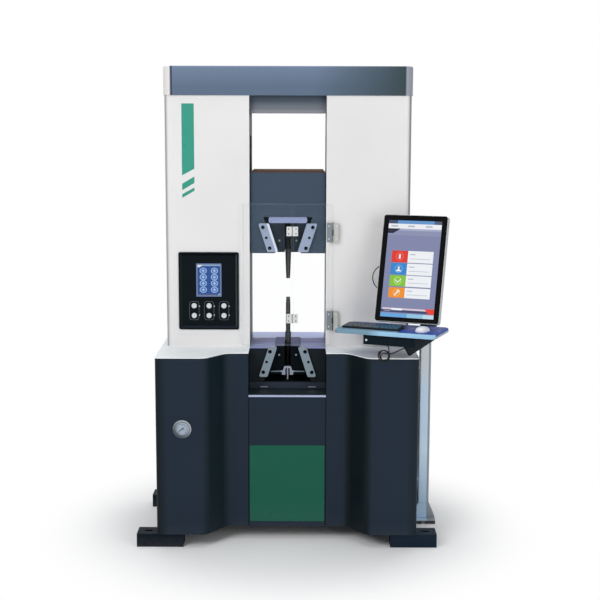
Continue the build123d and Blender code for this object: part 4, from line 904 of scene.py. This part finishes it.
# %% Monitor page and rows
LIT_W, LIT_H, LIT_DROP = 0.262, 0.465, 0.002
TALL = LIT_H / LIT_W
SIGN_X, PALE, LIGHTER = 0.267, (246, 246, 246), 50
BARS = [(0, (130, 136, 172), 0, 1, 0, 1), (1, (140, 146, 178), 0, 1, 0.845, 0.895),
        (1, (98, 150, 208), 0.17, 0.86, 0.965, 1), (1, (62, 74, 110), 0, 0.17, 0.965, 1),
        (1, (74, 92, 120), 0.86, 1, 0.965, 1), (1, (240, 242, 246), 0, 1, 0.915, 0.965),
        (1, (168, 174, 204), 0.2, 1, 0.895, 0.915), (1, (222, 206, 220), 0.03, 0.86, 0.076, 0.094),
        (1, (62, 68, 108), 0, 0.9, 0.05, 0.076), (2, (244, 246, 250), 0.20, 0.40, 0.072, 0.092),
        (2, (150, 156, 190), 0.06, 0.18, 0.058, 0.066), (1, (104, 168, 224), 0, 0.5, 0, 0.04),
        (1, (150, 200, 232), 0.5, 0.8, 0, 0.04), (1, (196, 222, 238), 0.8, 1, 0, 0.04)]
TABS = [(2, (186, 192, 204), x, x + 0.13, 0.932, 0.950) for x in (0.05, 0.37, 0.70)]
ROWS = [(0.565, 0.686, (224, 52, 40)), (0.439, 0.556, (52, 134, 206)),
        (0.318, 0.431, (134, 196, 62)), (0.200, 0.305, (244, 146, 44))]
page = [(level, rgb, rect(*share)) for level, rgb, *share in BARS + TABS]
page += [(2, (24, 30, 52), quad((0, 0.865), (0.1, 0.865), (0.24, 0.915), (0, 0.915))),
         (2, (238, 60, 48), quad((0.90, 0.045), (1, 0.045), (1, 0.1), (0.82, 0.1)))]
for low, high, rgb in ROWS:
    middle, tall = (low + high) / 2, high - low
    halo = tuple(min(255, c + LIGHTER) for c in rgb)
    page += [(1, rgb, rect(0.114, 0.42, low, high)), (1, (242, 245, 249), rect(0.42, 0.895, low, high)),
             (2, halo, ring(SIGN_X, middle, tall * 0.30, tall * 0.36, TALL)),
             (2, (176, 182, 196), rect(0.46, 0.56, middle + tall * 0.16, middle + tall * 0.24)),
             (2, (198, 202, 212), rect(0.46, 0.84, middle - tall * 0.20, middle - tall * 0.14))]
print("page", len(page), "patches")

# %% Monitor signs


def stroke(z, *corners):
    """Pale four-cornered stroke of a sign, its corners counted from the sign's middle."""
    return (3, PALE, quad(*[(SIGN_X + x, z + up) for x, up in corners]))


bar_z, pin_z, tick_z, key_z = [(low + high) / 2 for low, high, _ in ROWS]
page += [stroke(bar_z, (-0.018, -0.022), (0.018, -0.022), (0.018, 0.022), (-0.018, 0.022)),
         (3, PALE, ring(SIGN_X, pin_z + 0.013, 0.0, 0.011, TALL)),
         stroke(pin_z, (-0.055, -0.026), (0.055, -0.026), (0.012, 0), (-0.012, 0)),
         stroke(tick_z, (-0.05, 0.004), (0, -0.024), (0, -0.010), (-0.05, 0.016)),
         stroke(tick_z, (0, -0.024), (0.06, 0.012), (0.06, 0.024), (0, -0.010)),
         stroke(key_z, (-0.05, -0.026), (-0.03, -0.032), (0.03, 0.006), (0.01, 0.014)),
         (3, PALE, ring(SIGN_X + 0.03, key_z + 0.016, 0.006, 0.015, TALL))]
lit_field("monitor_picture", page, LIT_W, LIT_H, lambda p: on_monitor(p - np.array([0, 0, LIT_DROP])),
          "monitor", glow("monitor_glow", 1.0))
print("monitor picture", len(page), "patches")

# %% [markdown]
# ## The control panel's picture and outlines
# The small touch screen shows two columns of four round signs under a pale strip, in a pale frame. Below it
# a thin printed line runs round each pair of buttons: the space between two rounded rectangles. A small
# arrow is printed beside each button.

# %% Control panel picture
PANEL_X, SCREEN_Z, SCREEN_FACE, PANEL_FLOOR = -0.389, 1.2615, -0.0615, -0.060
SCREEN_W, SCREEN_H = 0.123, 0.163
WIDE = SCREEN_H / SCREEN_W
OVAL = WIDE * 1.15


def on_panel(points):
    """Move screen points to the small screen's face."""
    return points + np.array([PANEL_X, SCREEN_FACE, SCREEN_Z])


signs = [(0, (128, 144, 172), rect(0, 1, 0, 1)), (1, (58, 92, 158), rect(0.045, 0.955, 0.035, 0.965)),
         (2, (150, 184, 220), rect(0.045, 0.955, 0.93, 0.965)),
         (3, (232, 240, 250), quad((0.05, 0.89), (0.14, 0.89), (0.26, 0.96), (0.05, 0.96))),
         (2, (92, 104, 150), rect(0.045, 0.955, 0.035, 0.075)),
         (3, (196, 206, 226), rect(0.88, 0.95, 0.05, 0.085))]
for x in (0.275, 0.725):
    for z in (0.205, 0.40, 0.59, 0.785):
        signs += [(2, (92, 134, 206), ring(x, z, 0.0, 0.094, OVAL)),
                  (3, (176, 206, 246), ring(x, z, 0.074, 0.093, OVAL)),
                  (3, (206, 222, 242), rect(x - 0.05, x + 0.05, z - 0.014, z + 0.014)),
                  (3, (186, 208, 240), rect(x - 0.016, x + 0.016, z - 0.045, z + 0.045))]
lit_field("panel_picture", signs, SCREEN_W, SCREEN_H, on_panel, "machine",
          glow("panel_glow", 0.9))
print("panel picture", len(signs), "patches")

# %% Button outlines and arrows
OUTLINE_Z, BUTTON_PITCH = 1.109, 0.0735
OUTLINE_W, OUTLINE_H, OUTLINE_LINE, PRINT = 0.049, 0.094, 0.0015, 0.0003
BUTTON_RISE, ARROW_SHIFT, ARROW_W = 0.0235, 0.0255, 0.0075
LINE_Y, ARROW_Y = PANEL_FLOOR - 0.0002, PANEL_FLOOR - 0.0006


def outline_ring(x):
    """Band between two rounded rectangles of the same centre, one line's width apart."""
    both = np.stack([np.stack(superellipse(64, OUTLINE_W / 2 - line, OUTLINE_H / 2 - line, 5.0), -1)
                     for line in (OUTLINE_LINE, 0.0)])
    return np.stack([x + both[..., 0], np.full(both.shape[:2], LINE_Y), OUTLINE_Z + both[..., 1]], -1)


def arrow(x, way):
    """Three-cornered mark, up for a way of 1 and down for -1: a quad with two of its corners together."""
    wide = np.array([(-0.5, 0.5), (0.0, 0.0)]) * ARROW_W
    tall = np.array([(-0.5, -0.5), (0.5, 0.5)]) * ARROW_W * way
    middle = OUTLINE_Z + way * BUTTON_RISE
    return np.stack([x + ARROW_SHIFT + wide, np.full_like(wide, ARROW_Y), middle + tall], -1)


pairs_x = [PANEL_X + step * BUTTON_PITCH for step in (-1, 0, 1)]
piece("button_outlines", [patch(outline_ring(x), True) for x in pairs_x], "machine",
      moulded("printed_line", (96, 102, 108), 0.5, 0.2), wall=PRINT)
arrows = [patch(arrow(x, way)) for x in pairs_x for way in (-1, 1)]
piece("button_marks", arrows, "machine",
      moulded("printed_mark", (176, 182, 188), 0.5, 0.2), wall=PRINT)
print("outlines", len(pairs_x), "arrows", len(arrows))

# %% [markdown]
# ## The gauge dial
# Behind the gauge's glass is a pale dial with a scale over three quarters of a turn. Long marks stand at
# every fifth step. All marks are worked out as one array of quads round the centre.

# %% Gauge dial
DIAL_INNER, DIAL_OUTER, MARK_END, DIAL_FLOOR = 0.0016, 0.0284, 0.0258, -0.372
FACE_Y, MARK_Y = DIAL_FLOOR - 0.0003, DIAL_FLOOR - 0.0006


def dial_marks(count, low, width):
    """Bars between two radii at equal angles over three quarters of a turn."""
    angle = np.radians(np.linspace(225, -45, count))[:, None, None]
    r = np.broadcast_to(np.array([low, MARK_END])[None, :, None], (count, 2, 2))
    side = np.broadcast_to(np.array([-width, width])[None, None, :] / 2, (count, 2, 2))
    x = r * np.cos(angle) - side * np.sin(angle)
    z = r * np.sin(angle) + side * np.cos(angle)
    return np.stack([x, np.full_like(x, MARK_Y), z], -1) + GAUGE_AT


dial_pale = painted("dial_pale", (160, 174, 196), 0.5, 0.3, grain=1200.0, relief=0.00003)
dial_black = painted("dial_black", (34, 38, 48), 0.5, 0.2, grain=1200.0, relief=0.00003)
face = ring(0, 0, DIAL_INNER, DIAL_OUTER, 1.0, 48) + GAUGE_AT + np.array([0, FACE_Y, 0])
piece("gauge_dial", [patch(face)], "machine", dial_pale, wall=0.0003)
marks = np.concatenate([dial_marks(41, 0.0232, 0.0005), dial_marks(9, 0.0205, 0.0010)])
piece("gauge_marks", [patch(mark) for mark in marks], "machine", dial_black, wall=0.0002)
print("dial marks", len(marks))

# %% [markdown]
# ## Keyboard
# The keyboard is a wedge-shaped case with rows of dished key caps. Every cap is the same stack of rounded
# rectangles, drawn in towards the top and dipped in the middle. Numpy lays out all caps in one array, with
# wider ones where a space bar and shift keys belong. The caps at the right end carry a painted blue
# reflection of the screen above.

# %% Keyboard shapes
TRAY_Z = 1.067
KEYS_AT, KEYS_W, KEYS_D, KEYS_RIM = np.array([-0.268, -0.495]), 0.284, 0.100, 0.007
KEYS_LOW, KEYS_HIGH, KEYS_SCREEN_REFLECTION = 0.008, 0.013, (0.47, 0.56)
ROW_KEYS = [[1.25, 1.25, 1.25, 6.25, 1.25, 1.25, 1.25, 1.25], [2.25] + [1] * 10 + [1.75],
            [1.75] + [1] * 11 + [1.25], [1.5] + [1] * 11 + [1.5], [1] * 13 + [2]]


def on_keyboard(x, y, z):
    """Points counted from the keyboard's front left corner on the tray."""
    return np.stack([x + KEYS_AT[0], y + KEYS_AT[1], z + TRAY_Z], -1)


def slope(y):
    """Height of the case's top, rising evenly from front to back."""
    return KEYS_LOW + (KEYS_HIGH - KEYS_LOW) * y / KEYS_D


def key_places():
    """Centre, width and row of every key, from the widths in units of each row."""
    shares = [np.array(units, float) / sum(units) * (KEYS_W - 2 * KEYS_RIM) for units in ROW_KEYS]
    x = np.concatenate([KEYS_RIM + np.cumsum(share) - share / 2 for share in shares])
    row = np.concatenate([np.full(len(share), number) for number, share in enumerate(shares)])
    return x, np.concatenate(shares), row


def key_caps():
    """All caps at once: four rings and a dipped middle per cap, tilted with the case."""
    x, width, row = [values[:, None, None] for values in key_places()]
    pitch = (KEYS_D - 2 * KEYS_RIM) / len(ROW_KEYS)
    u, v = superellipse(24, 1.0, 1.0, 7.0)
    inset = np.array([0.0012, 0.0012, 0.0020, 0.0028])[None, :, None]
    lift = np.array([-0.0005, 0.0020, 0.0036, 0.0039])[None, :, None]
    gx = x + (width / 2 - inset) * u
    gy = KEYS_RIM + (row + 0.5) * pitch + (pitch / 2 - inset) * v
    dip = 0.0004 * (lift > 0.0038) * (1 - u ** 4)
    return on_keyboard(gx, gy, slope(gy) + lift - dip)


def key_case():
    """Rounded wedge: rings at the tray, at the edge and just inside it, following the slope."""
    u, v = superellipse(64, KEYS_W / 2, KEYS_D / 2, 16.0)
    inset = np.array([0.0, 0.0, 0.0012])[:, None]
    x = u * (1 - inset / (KEYS_W / 2)) + KEYS_W / 2
    y = v * (1 - inset / (KEYS_D / 2)) + KEYS_D / 2
    top = slope(y) - np.array([0.0, 0.0012, 0.0])[:, None]
    return on_keyboard(x, y, np.concatenate([np.full_like(x[:1], 0.0002), top[1:]]))


print("key widths", [len(row) for row in ROW_KEYS])

# %% Keyboard pieces
key_grey = moulded("key_grey", (70, 78, 85), 0.5, 0.3)
# Painted blue reflection of the screen on the caps at the right end.
key_grey.over(key_grey.past(CONSOLE_RIGHT, *KEYS_SCREEN_REFLECTION), (48, 86, 108))
case_black = moulded("key_case_black", (16, 18, 21), 0.42, 0.15)
case = [patch(on_console(stack(key_case())), True)]
caps = [patch(on_console(stack(cap)), True) for cap in key_caps()]
keyboard_case = piece("keyboard_case", case, "console", case_black)
keyboard_caps = piece("keyboard_caps", caps, "console", key_grey)
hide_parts("keyboard")
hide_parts("keyboard")
print("key caps", len(caps))

# %% [markdown]
# ## Mouse
# A mouse is a smooth dome with an upright skirt. Rings of an oval shrink along a quarter wave while they
# rise. The wheel is a small ring of its own that stands out of the dome's front.

# %% Mouse
MOUSE_AT, MOUSE_L, MOUSE_W, MOUSE_H = np.array([0.120, -0.455, TRAY_Z]), 0.090, 0.058, 0.026
MOUSE_TURN, WHEEL_AT, WHEEL_R, TYRE = math.radians(82), (0.021, 0.0172), 0.0055, (0.0020, 0.0024)


def on_mouse(points):
    """Turn with the mouse on the tray, then go over to the console's frame."""
    return on_console(turned(points, MOUSE_TURN, MOUSE_AT))


def mouse_dome():
    """Oval rings: half size times a cosine power, height a sine power, the top moved towards the palm."""
    t = np.array([0.0, 0.06, 0.16, 0.30, 0.45, 0.60, 0.75, 0.88, 0.97])[:, None] * math.pi / 2
    u, v = superellipse(48, MOUSE_L / 2, MOUSE_W / 2, 2.5)
    size, z = np.cos(t) ** 0.75, 0.0003 + MOUSE_H * 0.95 * np.sin(t) ** 0.85
    return np.stack([u * size - 0.005 * np.sin(t), v * size, z * np.ones_like(u)], -1)


def mouse_wheel():
    """Torus lying across the mouse: a small oval carried round a larger circle."""
    round_wheel, round_tyre = np.linspace(0, 2 * math.pi, 25), np.linspace(0, 2 * math.pi, 12, endpoint=False)
    a, b = np.meshgrid(round_wheel, round_tyre, indexing="ij")
    r = WHEEL_R + TYRE[0] * np.cos(b)
    return np.stack([WHEEL_AT[0] + r * np.cos(a), TYRE[1] * np.sin(b), WHEEL_AT[1] + r * np.sin(a)], -1)


mouse_white = moulded("mouse_white", (226, 228, 234), 0.3, 0.4, coat=0.2)
mouse_grey = moulded("mouse_wheel_grey", (70, 74, 80), 0.5, 0.3)
dome, wheel = [patch(on_mouse(stack(mouse_dome())), True)], [patch(on_mouse(mouse_wheel()), True)]
mouse_top = piece("mouse_dome", dome, "console", mouse_white, smooth=True)
piece("mouse_wheel", wheel, "console", mouse_grey, smooth=True)
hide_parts("mouse")
print("mouse", len(mouse_top.data.polygons), "faces")

# %% [markdown]
# ## Edges of the clear sheets
# Sawn plastic sheet is frosted and bright at its edge, which is how one sees that a clear guard is there. A
# band follows the outline of each sheet: straight runs and quarter circles, two points deep.

# %% Guard edges
SHEET_Y, SHEET_Z, SHEET_R = (-0.081, -0.075), (0.941, 1.638), 0.006
SHEETS_X = {"left": (-0.228, 0.017), "right": (0.027, 0.212)}


def sheet_edge(x0, x1):
    """Closed outline with quarter-circle corners, drawn at the sheet's front and back."""
    quarter = np.linspace(0, math.pi / 2, 6)
    centres = np.array([(x1, SHEET_Z[1]), (x0, SHEET_Z[1]), (x0, SHEET_Z[0]), (x1, SHEET_Z[0])])
    inward = np.array([(-1, -1), (1, -1), (1, 1), (-1, 1)]) * SHEET_R
    angle = quarter[None] + np.arange(4)[:, None] * math.pi / 2
    middle = (centres + inward)[:, None, :]
    path = (middle + SHEET_R * np.stack([np.cos(angle), np.sin(angle)], -1)).reshape(-1, 2)
    return np.stack([np.c_[path[:, 0], np.full(len(path), y), path[:, 1]] for y in SHEET_Y])


frosted = clear("frosted_edge", (196, 222, 220), 0.34, 0.35)
for side, ends in SHEETS_X.items():
    edge = [patch(sheet_edge(*ends), True)]
    piece(f"guard_edge_{side}", edge, f"guard_{side}", frosted, wall=0.0005)
print("guard edges", len(SHEETS_X))

# %% [markdown]
# ## Screws, pins and latches
# Small round heads are everywhere on such a machine: screws in the hinges and in the back of the columns, a
# bolt in the tray bracket and pins in the jaws. Each is a short round post with an eased front. The two
# latches on the lower grip's lip are rounded plates.

# %% Heads and plates


def disc(centre, radius, thick, way=-1.0, count=28):
    """Short round post of three rings, the last a little smaller; a way of -1 is to the front, 1 back."""
    t = np.arange(count) * 2 * math.pi / count
    size = np.array([radius, radius, radius * 0.86])[:, None]
    depth = np.array([0.0, 0.72, 1.0])[:, None] * thick * way
    rings = np.stack([size * np.cos(t), depth * np.ones(count), size * np.sin(t)], -1)
    return rings + np.asarray(centre, float)


def plate(x, y, z, thick, power=6.0):
    """Rounded plate facing the operator: three rings of a superellipse."""
    u, v = superellipse(40, (x[1] - x[0]) / 2, (z[1] - z[0]) / 2, power)
    size = np.array([1.0, 1.0, 0.93])[:, None]
    depth = -thick * np.array([0.0, 0.7, 1.0])[:, None] + y
    return np.stack([u * size + sum(x) / 2, depth * np.ones_like(u), v * size + sum(z) / 2], -1)


def heads(name, places, radius, thick, body, slot, finish, way=-1.0, count=28):
    """Several round heads as one piece."""
    rings = [stack(disc(p, radius, thick, way, count)) for p in places]
    return piece(name, [patch(r, True) for r in rings], body, finish)


print("head and plate shapes ready")

# %% Small fittings
LIP_FRONT, LATCH_Z, LATCH_WALL = -0.122, (0.7362, 0.7430), 0.003
LATCHES_X = ((-0.1366, -0.0971), (0.1025, 0.1420))
LEAF_FACE, LEAF_REACH, FOLD_REACH, BACK_FACE = -0.0847, 0.0185, 0.018, 0.266
LEAF_HEAD, FOLD_HEAD, PIN_HEAD = (0.0035, 0.0012), (0.0032, 0.001), (0.005, 0.003)  # radius and height
BACK_HEAD, BOLT_HEAD, BOLT_AT = (0.0055, 0.0022), (0.0055, 0.003), (-0.134, -0.520, 1.021)
bright = ground("bright_fitting", (205, 209, 216), 0.3, (500.0, 500.0, 500.0), 0.08)
dull = ground("dull_latch", (128, 132, 146), 0.4, (8.0, 900.0, 900.0), 0.1)
screw_dark = moulded("screw_dark", (70, 74, 78), 0.4, 0.3)
pin_grey = moulded("pin_grey", (142, 150, 150), 0.35, 0.3)
latches = [patch(stack(plate(x, LIP_FRONT, LATCH_Z, LATCH_WALL)), True) for x in LATCHES_X]
piece("lip_latches", latches, "machine", dull)
bolt = patch(on_console(stack(disc(BOLT_AT, *BOLT_HEAD))), True)
piece("bracket_bolt", [bolt], "console", bright)
leaf_z = [z + shift for z in (1.065, 1.500) for shift in (-0.031, 0.031)]
fold_z = [z + shift for z in (1.074, 1.505) for shift in (-0.012, 0.012)]
for name, x, levels, head, body, finish in (
        ("hinge_screws_fixed", HINGE_X + LEAF_REACH, leaf_z, LEAF_HEAD, "machine", bright),
        ("hinge_screws_moving", HINGE_X - LEAF_REACH, leaf_z, LEAF_HEAD, "guard_right", bright),
        ("fold_screws_left", FOLD_X - FOLD_REACH, fold_z, FOLD_HEAD, "guard_left", screw_dark),
        ("fold_screws_right", FOLD_X + FOLD_REACH, fold_z, FOLD_HEAD, "guard_right", screw_dark)):
    heads(name, [(x, LEAF_FACE, z) for z in levels], *head, body, "hinge_steel", finish)
for level, y, z in (("upper", -0.0296, 1.455), ("lower", -0.092, 0.894)):
    for side, x in (("left", -0.042), ("right", 0.042)):
        heads(f"{level}_pin_{side}", [(x, y, z)], *PIN_HEAD, f"{level}_jaw_{side}", "jaw_steel", pin_grey)
back_x = [side * x for side in (-1, 1) for x in (0.215, 0.560)]
back_screws = [(x, BACK_FACE, z) for x in back_x for z in np.linspace(0.98, 2.11, 5)]
heads("column_back_screws", back_screws, *BACK_HEAD, "machine", "column_white", bright, 1.0, 16)

# %% [markdown]
# ## Sizes at the end
# The box of the dressed machine is printed.

low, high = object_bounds()
print("visual box", [round(v, 3) for v in low], [round(v, 3) for v in high])
